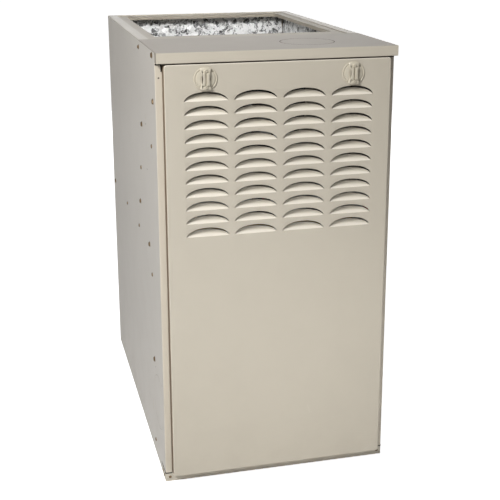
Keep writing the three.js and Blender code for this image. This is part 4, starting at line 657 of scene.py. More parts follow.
@dataclass(frozen=True)
class CircuitBoard(Finish):
    """A coated circuit board: green, with copper tracks under the coat."""

    colour: Colour = (0.02, 0.10, 0.05)
    track: Colour = (0.04, 0.19, 0.09)

    def dress(self, shader: Shader) -> bpy.types.Material:
        """Builds the board's shader.

        Args:
            shader: the empty tree of the finish's material.

        Returns:
            The material.
        """
        grid = shader.node("ShaderNodeTexBrick", {"offset": 0.37}, {
            "Vector": shader.node("ShaderNodeMapping", None, {
                "Vector": shader.coords(), "Rotation": (math.radians(90), 0.0, 0.0)}),
            "Color1": (0.0, 0.0, 0.0), "Color2": (1.0, 1.0, 1.0), "Mortar": (1.0, 1.0, 1.0),
            "Scale": 60.0, "Mortar Size": 0.05}, "Color")
        wander = shader.between(shader.noise(90.0, 2.0), 0.45, 0.5)
        tracks = shader.toned(grid, wander)
        base = shader.mix(tracks, self.colour, self.track)
        return shader.finish(
            Base_Color=base, Roughness=0.3 + shader.noise(40.0) * 0.12,
            Normal=shader.bump(tracks, 0.00005, 0.5))


@dataclass(frozen=True)
class Winding(Finish):
    """Lacquered laminations and copper wire of a small transformer."""

    colour: Colour = (0.30, 0.12, 0.05)
    wire: Colour = srgb(196, 128, 74)

    def dress(self, shader: Shader) -> bpy.types.Material:
        """Builds the winding's shader.

        Args:
            shader: the empty tree of the finish's material.

        Returns:
            The material.
        """
        turns = shader.node("ShaderNodeTexWave", {"bands_direction": "Y"}, {
            "Vector": shader.coords(), "Scale": 190.0, "Distortion": 0.3}, "Fac")
        base = shader.mix(turns, self.colour, self.wire)
        lacquer = shader.noise(60.0, 3.0)
        return shader.finish(
            Base_Color=base, Roughness=0.28 + lacquer * 0.2, Metallic=0.55,
            Normal=shader.bump(turns, 0.0003, 0.7))


class Finishes(Enum):
    """The furnace's finishes, by the record's slot names and for the finer pieces."""

    beigePaint = Enamel("beige_enamel", colour=srgb(203, 195, 179))
    # The door's up-facing louvre feet take a lighter colour: a painted highlight.
    doorPaint = Enamel("door_enamel", colour=srgb(202, 194, 178), tops=srgb(244, 237, 223))
    # The side's greyer colour stands in for cooler light on it. Its lighter front flange is a painted
    # highlight and its darker tops are painted shade.
    sidePaint = Enamel("side_enamel", colour=srgb(203, 198, 190), roughness=0.42, coat=0.08,
                       fronts=srgb(212, 203, 186), tops=srgb(168, 161, 148))
    # The cap's colour is darkened as painted shade on its top; its front lip keeps the door's beige.
    capPaint = Enamel("cap_enamel", colour=srgb(152, 144, 133), roughness=0.5, coat=0.04,
                      fronts=srgb(203, 195, 179))
    collarPaint = Enamel("collar_enamel", colour=srgb(160, 152, 138), roughness=0.5, coat=0.04)
    # The door's return walls: dark brown painted shade.
    returnPaint = Enamel("door_return_painted_shade", colour=srgb(112, 92, 70), roughness=0.55, coat=0.0)
    # Dark plates that paint the shade in the casing's open gaps.
    gapShade = Moulded("gap_shade", colour=srgb(24, 20, 17), roughness=0.9, worn=srgb(40, 34, 28))
    knobPlastic = Moulded("latch_plastic", colour=srgb(204, 196, 178), roughness=0.33,
                          worn=srgb(150, 140, 122))
    foil = Foil("crumpled_foil")
    galvanised = Galvanised("galvanised_sheet")
    aluminised = HeatedSteel("aluminised_sheet")
    blackPaint = Enamel("black_enamel", colour=srgb(38, 38, 40), roughness=0.4, cloud=0.12,
                        dust=0.35, peel=0.00006)
    castAluminium = BareMetal("cast_aluminium", colour=srgb(196, 198, 200), roughness=0.4,
                              scale=520.0, relief=0.00018)
    brass = BareMetal("manifold_brass", colour=srgb(190, 156, 92), roughness=0.3,
                      grain=(0.2, 1.0, 1.0), tarnish=srgb(92, 66, 40))
    steelShaft = BareMetal("ground_steel", colour=srgb(205, 206, 208), roughness=0.2,
                           grain=(12.0, 1.0, 1.0), relief=0.00004, tarnished=0.15)
    blackPlastic = Moulded("black_plastic", colour=srgb(34, 34, 36), worn=srgb(96, 92, 86))
    redPlastic = Moulded("red_plastic", colour=srgb(172, 32, 30), roughness=0.3,
                         worn=srgb(205, 110, 100))
    whitePlastic = Moulded("white_plastic", colour=srgb(226, 222, 212), roughness=0.35,
                           worn=srgb(186, 178, 160))
    ceramic = Ceramic("insulator_ceramic")
    circuitBoard = CircuitBoard("circuit_board")
    rubber = Moulded("black_rubber", colour=srgb(40, 40, 41), roughness=0.72, grain=0.00006,
                     worn=srgb(104, 98, 90))
    copperWinding = Winding("transformer_winding")
    zincYellow = BareMetal("yellow_zinc", colour=srgb(150, 130, 104), roughness=0.42,
                           tarnish=srgb(66, 54, 44), tarnished=0.6)
    # Dark discs and rings that paint the shade in punched holes and the scored groove.
    punched = Moulded("punched_hole_shade", colour=srgb(70, 62, 54), roughness=0.8,
                      worn=srgb(96, 88, 78))

    def material(self) -> bpy.types.Material:
        """Gives the finish's material."""
        return self.value.material()


# ---- Shapes ------------------------------------------------------------------------------


class Form:
    """A mesh in the making, in metres, in the row frame."""

    def __init__(self) -> None:
        """Starts empty."""
        self.mesh = bmesh.new()

    def skin(self, rings: Sequence[Sequence[Point]], place: Matrix | None = None,
             closed: bool = True, caps: bool = True) -> Form:
        """Adds a surface through rings of points.

        Args:
            rings: rings or rows with the same number of points.
            place: the matrix to put the points through.
            closed: whether each ring joins its own end.
            caps: whether the first and last rings are filled.

        Returns:
            The form.
        """
        matrix = place or Matrix.Identity(4)
        made = [[self.mesh.verts.new(matrix @ Vector(p)) for p in ring] for ring in rings]
        count = len(made[0])
        for near, far in zip(made, made[1:]):
            for i in range(count if closed else count - 1):
                j = (i + 1) % count
                self.mesh.faces.new((near[i], near[j], far[j], far[i]))
        if caps and closed:
            self.mesh.faces.new(list(reversed(made[0])))
            self.mesh.faces.new(made[-1])
        return self

    def turned(self, profile: Outline, place: Matrix, steps: int = 24, caps: bool = True) -> Form:
        """Adds a turned body from (radius, height) points, from its foot to its crown."""
        rings = [[(x, y, h) for x, y in circle(r, steps)] for r, h in profile]
        return self.skin(rings, place, caps=caps)

    def prism(self, outline: Outline, low: float, high: float,
              place: Matrix, edge: float = 0.0, steps: int = 3) -> Form:
        """Adds a straight body from an outline, with its upper edge rounded.

        Args:
            outline: points in local (x, y), counter-clockwise.
            low: local height of the foot.
            high: local height of the crown.
            place: the matrix to put it through.
            edge: the radius of the rounded upper edge.
            steps: how finely it is rounded.

        Returns:
            The form.
        """
        rings = [[(x, y, low) for x, y in outline]]
        for i in range(steps + 1 if edge else 1):
            angle = math.pi / 2 * i / steps if edge else 0.0
            shift = edge * (1 - math.cos(angle))
            inner = inset(outline, shift)
            rings.append([(x, y, high - edge + edge * math.sin(angle)) for x, y in inner])
        return self.skin(rings, place)

    def object(self, name: str, finish: Finishes, smooth: float = 35.0) -> bpy.types.Object:
        """Ends the form as an object.

        Args:
            name: the object's name.
            finish: its finish.
            smooth: edges sharper than this, in degrees, stay sharp.

        Returns:
            The object, in the scene.
        """
        bmesh.ops.recalc_face_normals(self.mesh, faces=self.mesh.faces)
        data = bpy.data.meshes.new(name)
        self.mesh.to_mesh(data)
        self.mesh.free()
        data.polygons.foreach_set("use_smooth", [True] * len(data.polygons))
        data.set_sharp_from_angle(angle=math.radians(smooth))
        data.materials.append(finish.material())
        return placed(name, data)


def placed(name: str, data: Any) -> bpy.types.Object:
    """Puts an object with that data into the scene."""
    made = bpy.data.objects.new(name, data)
    bpy.context.scene.collection.objects.link(made)
    return made


def circle(radius: float, steps: int, x: float = 0.0, y: float = 0.0) -> Outline:
    """Gives a circle's points, counter-clockwise."""
    angles = [2 * math.pi * i / steps for i in range(steps)]
    return [(x + radius * math.cos(a), y + radius * math.sin(a)) for a in angles]


def scaled(profile: Outline, across: float, up: float) -> Outline:
    """Scales the points of an outline or a turned profile."""
    return [(x * across, y * up) for x, y in profile]


def inset(outline: Outline, by: float) -> Outline:
    """Moves an outline inward by a distance.

    Args:
        outline: its points, counter-clockwise.
        by: the distance; below zero, the outline grows.

    Returns:
        As many points, moved.
    """
    count = len(outline)
    moved = []
    for i, (x, y) in enumerate(outline):
        before = Vector(outline[i - 1])
        after = Vector(outline[(i + 1) % count])
        here = Vector((x, y))
        into, away = (here - before).normalized(), (after - here).normalized()
        mean = Vector((-into.y - away.y, into.x + away.x))
        if mean.length < 1e-9:
            moved.append((x, y))
            continue
        mean.normalize()
        reach = by / max(0.35, mean.dot(Vector((-into.y, into.x))))
        moved.append((x + mean.x * reach, y + mean.y * reach))
    return moved


def rounded(width: float, height: float, radius: float, steps: int = 5) -> Outline:
    """Gives a rectangle with round corners, about the origin.

    Args:
        width: its size along x.
        height: its size along y.
        radius: the radius of its corners.
        steps: how finely a corner is rounded.

    Returns:
        Its points, counter-clockwise.
    """
    points = []
    for sx, sy, first in ((1, -1, -90), (1, 1, 0), (-1, 1, 90), (-1, -1, 180)):
        cx, cy = sx * (width / 2 - radius), sy * (height / 2 - radius)
        for i in range(steps + 1):
            angle = math.radians(first + 90 * i / steps)
            points.append((cx + radius * math.cos(angle), cy + radius * math.sin(angle)))
    return points


class Workshop:
    """Puts pieces on their bodies, dresses the CAD nodes by their slots and reports the pieces."""

    def __init__(self, frame: Mapping[str, Any]) -> None:
        """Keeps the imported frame.
        """
        self.frame = frame
        self.made: list[bpy.types.Object] = []

    def add(self, piece: bpy.types.Object, body: Body, slot: Finishes,
            replaces: Sequence[str] = ()) -> bpy.types.Object:
        """Puts a piece on a body.

        Args:
            piece: the object.
            body: the body it moves with.
            slot: the record's slot of the piece; not used.
            replaces: CAD nodes that it stands for.

        Returns:
            The piece.
        """
        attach(piece, body.value)
        if replaces:
            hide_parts(*replaces)
        self.made.append(piece)
        LOG.info("%s on %s: %d faces", piece.name, body.value, len(piece.data.polygons))
        return piece

    def dress_nodes(self, special: Mapping[str, Finishes]) -> None:
        """Gives every CAD node the finish of its slot, or a special one.

        Args:
            special: nodes that take another finish.
        """
        slots = {entry["node"]: entry["material_slot"] for entry in self.frame["record"]["subparts"]}
        for name, node in self.frame["nodes"].items():
            finish = special.get(name) or Finishes[slots[name]]
            node.data.materials.clear()
            node.data.materials.append(finish.material())
            LOG.info("%s dressed in %s", name, finish.name)


# ---- Door --------------------------------------------------------------------------------


@dataclass
class Door:
    """The louvred outer door, pressed from one sheet."""

    half_width: float = 212 * MM
    bottom: float = 19.5 * MM
    top: float = 824.5 * MM
    face: float = DOOR_FACE
    rim: float = -349.3 * MM
    corner: float = 5 * MM
    edge: float = 2 * MM
    edge_steps: int = 4
    sheet: float = 1.2 * MM
    columns: int = 4
    rows: int = 11
    column_pitch: float = 91.5 * MM
    row_pitch: float = 25.2 * MM
    first_foot: float = 758.5 * MM
    louvre_width: float = 80 * MM
    louvre_rise: float = 17 * MM
    louvre_steps: int = 22
    louvre_levels: int = 7
    shoulder: float = 2.1  # how square the arch is at its ends
    crown: float = 0.55  # how pointed it is; lower is flatter
    slit: float = 4.6 * MM
    slit_taper: float = 0.5  # how soon the slit closes towards the arch's ends
    press: float = 8.0 * MM
    press_taper: float = 0.8
    curl: float = 3.0  # how much of the tongue's bend is at its foot
    hole_steps: int = 20
    soft_edge: float = 28  # degrees; a sharper edge stays sharp

    def build(self, shop: Workshop) -> None:
        """Builds the door panel and puts it on the door's body.

        Args:
            shop: where the pieces go.
        """
        form = Form()
        outer = self._face_outline()
        holes = [self._arch(x, foot) for foot in self._feet() for x in self._columns()]
        latches = [circle(LATCH_BORE, self.hole_steps, side * LATCH_SPREAD, LATCH_HEIGHT)
                   for side in (-1, 1)]
        loops = [self._loop(form.mesh, points) for points in (outer, *holes, *latches)]
        edges = [edge for loop in loops for edge in loop]
        bmesh.ops.triangle_fill(form.mesh, use_beauty=True, use_dissolve=False, edges=edges)
        for louvre in holes:
            self._tongue(form, louvre)
        self._skirt(form.mesh, outer)
        bmesh.ops.remove_doubles(form.mesh, verts=form.mesh.verts, dist=1e-6)
        panel = form.object("louvred_door_panel", Finishes.doorPaint, self.soft_edge)
        # The second material, for the return walls, is painted shade.
        panel.data.materials.append(Finishes.returnPaint.material())
        thick = panel.modifiers.new("sheet", "SOLIDIFY")
        thick.thickness = self.sheet
        thick.offset = -1.0
        thick.use_even_offset = False
        even = panel.modifiers.new("even shading", "WEIGHTED_NORMAL")
        even.keep_sharp = True
        shop.add(panel, Body.DOOR, Finishes.beigePaint, ["outer_door"])

    def _columns(self) -> list[float]:
        """Gives the middles of the louvre columns."""
        return [(i - (self.columns - 1) / 2) * self.column_pitch for i in range(self.columns)]

    def _feet(self) -> list[float]:
        """Gives the heights of the louvres' feet."""
        return [self.first_foot - i * self.row_pitch for i in range(self.rows)]

    def _face_outline(self) -> Outline:
        """Gives the flat face's outline, inside the rolled edge.

        Returns:
            Its points in (x, z), counter-clockwise.
        """
        middle = (self.top + self.bottom) / 2
        outline = rounded(2 * (self.half_width - self.edge), self.top - self.bottom - 2 * self.edge,
                          self.corner - self.edge)
        return [(x, z + middle) for x, z in outline]

    def _rise(self, share: float) -> float:
        """Gives the arch's height at a share, -1 to 1, of its half width."""
        return self.louvre_rise * max(0.0, 1.0 - abs(share) ** self.shoulder) ** self.crown

    def _arch(self, x: float, foot: float) -> Outline:
        """Gives a louvre's opening: along its foot, then back over its arch.

        Args:
            x: the middle of its column.
            foot: the height of its foot.

        Returns:
            Its points in (x, z), of which the first louvre_steps + 1 are the foot's.
        """
        half = self.louvre_width / 2
        steps = self.louvre_steps
        shares = [-math.cos(math.pi * i / steps) for i in range(steps + 1)]
        base = [(x + s * half, foot) for s in shares]
        arch = [(x + s * half, foot + self._rise(s)) for s in reversed(shares[1:-1])]
        return base + arch

    def _loop(self, mesh: bmesh.types.BMesh, points: Outline) -> list[bmesh.types.BMEdge]:
        """Adds a closed line in the face's plane."""
        verts = [mesh.verts.new((x, self.face, z)) for x, z in points]
        return [mesh.edges.new((verts[i - 1], verts[i])) for i in range(len(verts))]

    def _tongue(self, form: Form, louvre: Outline) -> None:
        """Adds the louvre's tongue, curling inward from its foot.

        Args:
            form: the door's form.
            louvre: the opening's points.
        """
        base = louvre[:self.louvre_steps + 1]
        middle = (base[0][0] + base[-1][0]) / 2
        half = self.louvre_width / 2
        rows = []
        for level in range(self.louvre_levels + 1):
            share = level / self.louvre_levels
            row = []
            for x, foot in base:
                rise = self._rise((x - middle) / half)
                tall = rise / self.louvre_rise
                gap = self.slit * tall ** self.slit_taper
                depth = self.press * tall ** self.press_taper * (1 - (1 - share) ** self.curl)
                row.append((x, self.face + depth, foot + max(rise - gap, 0.0) * share))
            rows.append(row)
        form.skin(rows, closed=False)

    def _skirt(self, mesh: bmesh.types.BMesh, outline: Outline) -> None:
        """Adds the rolled edge and the walls that run back to the rim, the walls in dark painted shade.

        Args:
            mesh: the door's mesh.
            outline: the flat face's outline.
        """
        turns = [math.pi / 2 * i / self.edge_steps for i in range(self.edge_steps + 1)]
        levels = [(self.edge * math.sin(turn), self.face + self.edge * (1 - math.cos(turn)))
                  for turn in turns]
        levels.append((self.edge, self.rim))
        rings = [[mesh.verts.new((x, y, z)) for x, z in inset(outline, -out)] for out, y in levels]
        for near, far in zip(rings, rings[1:]):
            for i in range(len(near)):
                j = (i + 1) % len(near)
                wall = mesh.faces.new((near[i], near[j], far[j], far[i]))
                # The walls back to the rim take the second material, a painted shade.
                wall.material_index = 1 if far is rings[-1] else 0


@dataclass
class Latch:
    """A quarter-turn latch: the plate on the door, the knob, its spindle and its cam.

    The tables of points are in millimetres.
    """

    side: int
    body: Body
    face: float = DOOR_FACE
    plate_radius: float = 21.5 * MM
    plate_thickness: float = 3.2 * MM
    plate_foot: float = 0.3 * MM
    plate_steps: int = 56
    # The plate's section: how far in from its rim, and how high above the door.
    plate_section: Outline = (
        (0.4, 0.3), (0.0, 0.7), (0.0, 1.2), (0.6, 1.9), (1.6, 2.1), (2.3, 1.3), (4.0, 1.3), (4.6, 2.4),
        (6.2, 2.9), (12.5, 2.9), (13.1, 2.4))
    ribs: int = 24
    rib_width: float = 0.8 * MM
    rib_length: float = 2.2 * MM
    rib_in: float = 3.2 * MM
    rib_corner: float = 0.3 * MM
    rib_foot: float = 1.0 * MM
    rib_top: float = 2.0 * MM
    rib_edge: float = 0.25 * MM
    crown: float = -377.6 * MM
    length: float = 39 * MM
    end: float = 20 * MM
    waist: float = 12.4 * MM
    widest: float = 0.86  # the share of the half length where an end is widest
    flare: float = 1.8  # how late the waist opens into the end
    blunt: float = 0.72  # the width left at the tip, as a share
    tuck: float = 0.16  # the share over which an end rounds off
    tip: float = 0.985
    half_steps: int = 18
    # Rings of the knob: how far in from its outline, and how high above the plate.
    foot_rings: Outline = ((-0.6, 0.3), (-0.9, 0.9))
    # The same, and how far below the crown.
    crown_rings: Outline = ((0.0, 3.6), (0.5, 3.0), (1.1, 2.7), (2.5, 2.6))
    slot: float = 3.0 * MM
    rail_reach: float = 0.29  # half the length of a rail, as a share of the knob's
    rail_in: float = 0.5 * MM
    rail_edge: float = 0.6 * MM
    sink: float = 3.4 * MM
    dimple_place: float = 0.37  # from the middle, as a share of the knob's length
    dimple: Outline = ((3.0, -3.4), (3.0, -0.9), (2.4, -0.1), (1.5, 0.0), (1.2, -1.2))
    spindle: float = 5 * MM
    spindle_in: float = 1.3 * MM  # how far it runs past the plate, into the knob
    spindle_past: float = 1 * MM  # how far it runs into the cam
    cam_front: float = -347.5 * MM
    cam_thickness: float = 2.5 * MM
    cam_width: float = 13 * MM
    cam_reach: float = 27 * MM
    cam_corner: float = 5.5 * MM
    cam_edge: float = 0.4 * MM

    def build(self, shop: Workshop) -> None:
        """Builds the plate and the knob.

        Args:
            shop: where the pieces go.
        """
        word = "left" if self.side < 0 else "right"
        self._plate(shop, word)
        self._knob(shop, word)

    def _place(self, y: float) -> Matrix:
        """Gives the frame at a depth on the latch's axis, facing the front."""
        return Matrix.Translation((self.side * LATCH_SPREAD, y, LATCH_HEIGHT)) \
            @ Matrix.Rotation(math.pi / 2, 4, "X")

    def _plate(self, shop: Workshop, word: str) -> None:
        """Builds the round plate with its stepped rings and moulded ribs.

        Args:
            shop: where the piece goes.
            word: left or right, for its name.
        """
        section = [(self.plate_radius - depth * MM, height * MM) for depth, height in self.plate_section]
        profile = [(LATCH_BORE, self.plate_foot), *section, (LATCH_BORE, section[-1][1]),
                   (LATCH_BORE, self.plate_foot)]
        place = self._place(self.face)
        form = Form().turned(profile, place, self.plate_steps, caps=False)
        rib = [(x + self.plate_radius - self.rib_in, y)
               for x, y in rounded(self.rib_length, self.rib_width, self.rib_corner, 2)]
        for index in range(self.ribs):
            lean = place @ Matrix.Rotation(math.radians(index * 360 / self.ribs), 4, "Z")
            form.prism(rib, self.rib_foot, self.rib_top, lean, self.rib_edge, 2)
        plate = form.object(f"latch_plate_{word}", Finishes.knobPlastic)
        shop.add(plate, Body.DOOR, Finishes.knobPlastic, [f"latch_escutcheon_{word}"])

    def _outline(self) -> Outline:
        """Gives the knob's hourglass outline.

        Returns:
            Its points, counter-clockwise.
        """
        right = []
        for i in range(self.half_steps + 1):
            v = -1 + 2 * i / self.half_steps
            spread = (self.end - self.waist) / 2 * min(1.0, abs(v) / self.widest) ** self.flare
            past = max(0.0, (abs(v) - self.widest) / self.tuck)
            full = self.blunt + (1 - self.blunt) * math.sqrt(max(0.0, 1 - past ** 2))
            reach = self.length / 2 * (self.tip if abs(v) == 1 else 1)
            right.append(((self.waist / 2 + spread) * full, v * reach))
        return right + [(-x, y) for x, y in reversed(right)]

    def _rail(self, side: int) -> Outline:
        """Gives the outline of the raised rail on one side of the grip's slot.

        Args:
            side: -1 for the left one, 1 for the right one.

        Returns:
            Its points, counter-clockwise.
        """
        half = self.length * self.rail_reach
        outer = [(x - self.rail_in, y) for x, y in self._outline() if x > 0 and abs(y) <= half]
        points = [(self.slot / 2, -half), *outer, (self.slot / 2, half)]
        return points if side > 0 else [(-x, y) for x, y in reversed(points)]

    def _knob(self, shop: Workshop, word: str) -> None:
        """Builds the knob, with its grip slot and dimples, its spindle and its cam.

        Args:
            shop: where the piece goes.
            word: left or right, for its name.
        """
        place = self._place(0.0)
        seat = -self.face + self.plate_thickness
        crown = -self.crown
        levels = [(depth * MM, seat + height * MM) for depth, height in self.foot_rings]
        levels += [(depth * MM, crown - drop * MM) for depth, drop in self.crown_rings]
        outline = self._outline()
        form = Form().skin([[(x, y, z) for x, y in inset(outline, by)] for by, z in levels], place)
        for side in (-1, 1):
            form.prism(self._rail(side), crown - self.sink, crown, place, self.rail_edge)
        for end in (-1, 1):
            spot = place @ Matrix.Translation((0, end * self.length * self.dimple_place, crown))
            form.turned(scaled(self.dimple, MM, MM), spot, 20)
        spindle = [(self.spindle, -self.cam_front - self.spindle_past),
                   (self.spindle, seat + self.spindle_in)]
        form.turned(spindle, place)
        cam = [(x, y + (self.cam_reach - self.cam_width / 2) / 2) for x, y in rounded(
            self.cam_width, self.cam_reach + self.cam_width / 2, self.cam_corner)]
        back = -self.cam_front
        form.prism(cam, back - self.cam_thickness, back, place, self.cam_edge)
        knob = form.object(f"latch_knob_and_cam_{word}", Finishes.knobPlastic, smooth=40)
        shop.add(knob, self.body, Finishes.knobPlastic, [f"latch_knob_{word}"])


# ---- Casing ------------------------------------------------------------------------------


@dataclass(frozen=True)
class Spot:
    """A fastener or mark on the casing's outside.

    Attributes:
        depth: distance behind the casing's front, in millimetres.
        height: above the floor, in millimetres.
        radius: its radius, in millimetres.
    """

    depth: float
    height: float
    radius: float


@dataclass
class Fasteners:
    """The screws and rivets on the outside of the casing, and dark pieces that paint the shade in its
    holes, score and gaps.

    The spots and the tables of points are in millimetres, and the profiles of a screw and a rivet
    in shares of its radius and its head's height.
    """

    front: float = CASING_FRONT
    half: float = CASING_HALF
    head: float = 2.6 * MM
    low_head: float = 1.2 * MM
    washer: Outline = ((1.3, 0.0), (1.3, 0.14), (1.2, 0.24))
    hollow: Outline = ((0.55, 0.9), (0.5, 1.02), (0.2, 0.94))
    hexagon: float = 0.94  # the corners of a screw's head, as a share of its radius
    hexagon_foot: float = 0.2
    hexagon_edge: float = 0.16
    turn_step: float = 0.7  # how far each screw is turned past the one before, in radians
    rivet: Outline = ((1.0, 0.0), (0.96, 0.3), (0.72, 0.62), (0.46, 0.62), (0.38, 0.2), (0.2, 0.16))
    pan_head: Outline = ((2.6, 0.0), (2.6, 0.6), (2.0, 0.95), (0.5, 0.98))
    screws: tuple[Spot, ...] = (
        Spot(29, 837, 4.6), Spot(199, 832, 3.6), Spot(30, 753, 4.6), Spot(104, 217, 4.6))
    dark_screws: tuple[Spot, ...] = (
        Spot(186, 682, 4.4), Spot(239, 511, 4.2), Spot(126, 453, 4.2), Spot(696, 441, 4.4))
    rings: tuple[Spot, ...] = (
        Spot(62, 664, 4.0), Spot(215, 588, 4.4), Spot(101, 398, 4.0), Spot(117, 31, 4.0),
        Spot(272, 449, 3.8), Spot(466, 445, 3.6))
    dots: tuple[Spot, ...] = (
        Spot(131, 693, 1.6), Spot(130, 604, 1.7), Spot(16, 199, 1.8), Spot(96, 203, 1.2))
    # A punched hole's painted shade: shares of its radius, and heights in millimetres.
    hole: Outline = ((1.0, -0.1), (1.0, 0.12), (0.8, 0.02), (0.2, -0.05))
    flange_hole: Outline = ((1.5, -0.1), (1.5, 0.1), (0.3, 0.02))
    flange_hole_in: float = 6.5 * MM
    flange_hole_height: float = 800 * MM
    # The painted shades in the corner gaps on the front: from x, to x, from z and to z.
    gaps: tuple[tuple[float, ...], ...] = (
        (212.8, 224.6, 822.6, 825.6), (212.4, 214.6, 811, 823), (213, 224.8, 17.2, 19.0))
    gap_corner: float = 0.4 * MM
    gap_lift: float = 0.1 * MM
    gap_height: float = 0.9 * MM
    gap_edge: float = 0.2 * MM
    # The painted shade in the gap over the base rail on the side: how far back, and how high above its
    # foot.
    side_gap: Outline = ((0.0, 0.0), (46, 1.2), (46, 2.2), (0.0, 3.6))
    side_gap_foot: float = 17.0 * MM
    side_gap_proud: tuple[float, float] = (-0.1 * MM, 0.3 * MM)
    rail_depths: tuple[float, ...] = (12, 30)
    rail_height: float = 9 * MM
    rail_in: float = 9 * MM
    rail_radius: float = 2.4 * MM
    rail_front_radius: float = 2.2 * MM
    rail_front_turn: float = 0.4
    cap_depth: float = 193 * MM
    cap_height: float = 845.0 * MM
    cap_places: tuple[float, ...] = (-150, 0, 150)
    vent_place: tuple[float, float, float] = (81 * MM, CASING_FRONT + 84 * MM, 845.94 * MM)
    vent_radius: float = 52 * MM
    score: float = 0.75 * MM
    score_height: float = 0.1 * MM
    back: float = 379.6 * MM
    back_in: float = 8 * MM
    back_radius: float = 3.0 * MM
    back_head: float = 1.3 * MM
    back_heights: tuple[float, ...] = (60, 240, 420, 600, 780)

    def build(self, shop: Workshop) -> None:
        """Builds each kind of fastener as one piece for each side, and the painted shades of the holes,
        score and gaps.

        Args:
            shop: where the pieces go.
        """
        for side, word in ((-1, "left"), (1, "right")):
            kept = (self.screws, self.dark_screws, self.rings) if side < 0 else \
                (self.screws[:3], self.dark_screws[2:], self.rings[4:])
            self._heads(shop, f"side_screws_{word}", kept[0], side)
            self._heads(shop, f"shelf_screws_{word}", kept[1], side)
            self._rivets(shop, f"side_rivets_{word}", kept[2], side)
        self._marks(shop)
        self._gaps(shop)
        self._vent_score(shop)
        self._rail_screws(shop)
        self._cap_screws(shop)
        self._back_screws(shop)

    @staticmethod
    def _fit(shop: Workshop, form: Form, name: str, smooth: float) -> None:
        """Ends a form of fasteners as one piece on the casing."""
        piece = form.object(name, Finishes.zincYellow, smooth)
        shop.add(piece, Body.CASING, Finishes.steelShaft)

    @staticmethod
    def _shade(shop: Workshop, form: Form, name: str, finish: Finishes, smooth: float) -> None:
        """Ends a form of dark painted shades as one piece on the casing."""
        shop.add(form.object(name, finish, smooth), Body.CASING, Finishes.blackPlastic)

    def _on_side(self, side: int, depth: float, height: float, turn: float = 0.0) -> Matrix:
        """Gives the frame of a place on a side, its depth and height in metres.

        Args:
            side: -1 for the left side, 1 for the right one.
            depth: how far behind the casing's front.
            height: how far above the floor.
            turn: a turn about the frame's own z, in radians.

        Returns:
            The frame, its z standing out from the side.
        """
        direction = Axis.LEFT if side < 0 else Axis.RIGHT
        return direction.frame((side * self.half, self.front + depth, height), turn)

    def _heads(self, shop: Workshop, name: str, spots: Iterable[Spot], side: int) -> None:
        """Builds hexagon washer-head screws on a side.

        Args:
            shop: where the piece goes.
            name: its name.
            spots: the screws.
            side: -1 for the left side, 1 for the right one.
        """
        form = Form()
        for index, spot in enumerate(spots):
            place = self._on_side(side, spot.depth * MM, spot.height * MM, index * self.turn_step)
            self._screw(form, place, spot.radius * MM, self.head)
        self._fit(shop, form, name, 30)

    def _screw(self, form: Form, place: Matrix, radius: float, head: float) -> None:
        """Adds one hexagon washer-head screw.

        Args:
            form: the form it is added to.
            place: its frame; it stands on z = 0.
            radius: the radius of its head.
            head: the height of its head.
        """
        form.turned(scaled(self.washer, radius, head), place)
        form.prism(circle(radius * self.hexagon, 6), head * self.hexagon_foot, head, place,
                   head * self.hexagon_edge, 2)
        form.turned(scaled(self.hollow, radius, head), place, 16)

    def _rivets(self, shop: Workshop, name: str, spots: Iterable[Spot], side: int) -> None:
        """Builds pulled rivets: a low domed flange round a sunk middle.

        Args:
            shop: where the piece goes.
            name: its name.
            spots: the rivets.
            side: -1 for the left side, 1 for the right one.
        """
        form = Form()
        for spot in spots:
            place = self._on_side(side, spot.depth * MM, spot.height * MM)
            form.turned(scaled(self.rivet, spot.radius * MM, self.head), place)
        self._fit(shop, form, name, 50)

    def _marks(self, shop: Workshop) -> None:
        """Builds dark discs that paint the shade in small punched holes on the left side and the front
        flange.

        Args:
            shop: where the piece goes.
        """
        form = Form()
        for spot in self.dots:
            place = self._on_side(-1, spot.depth * MM, spot.height * MM)
            form.turned(scaled(self.hole, spot.radius * MM, MM), place, 16)
        for side in (-1, 1):
            place = Axis.FRONT.frame((side * (self.half - self.flange_hole_in), self.front,
                                      self.flange_hole_height))
            form.turned(scaled(self.flange_hole, MM, MM), place, 14)
        self._shade(shop, form, "punched_hole_painted_shades", Finishes.punched, 50)

    def _gaps(self, shop: Workshop) -> None:
        """Builds dark plates that paint the shade in the open gaps at the casing's front corners and
        over the base rail on the sides.

        Args:
            shop: where the piece goes.
        """
        form = Form()
        for side in (-1, 1):
            for x0, x1, z0, z1 in self.gaps:
                place = Axis.FRONT.frame((side * (x0 + x1) / 2 * MM, self.front + self.gap_lift,
                                          (z0 + z1) / 2 * MM))
                outline = rounded((x1 - x0) * MM, (z1 - z0) * MM, self.gap_corner, 2)
                form.prism(outline, 0.0, self.gap_height, place, self.gap_edge, 2)
            foot = Vector((side * self.half, self.front, self.side_gap_foot))
            form.skin([[foot + Vector((side * out, y, z)) for y, z in scaled(self.side_gap, MM, MM)]
                       for out in self.side_gap_proud])
        self._shade(shop, form, "corner_gap_shades", Finishes.gapShade, 30)

    def _rail_screws(self, shop: Workshop) -> None:
        """Builds the screws at the base rail's corners.

        Args:
            shop: where the piece goes.
        """
        form = Form()
        for side in (-1, 1):
            for depth in self.rail_depths:
                place = self._on_side(side, depth * MM, self.rail_height, depth)
                self._screw(form, place, self.rail_radius, self.low_head)
            place = Axis.FRONT.frame((side * (self.half - self.rail_in), self.front, self.rail_height),
                                     self.rail_front_turn)
            self._screw(form, place, self.rail_front_radius, self.low_head)
        self._fit(shop, form, "base_rail_screws", 30)

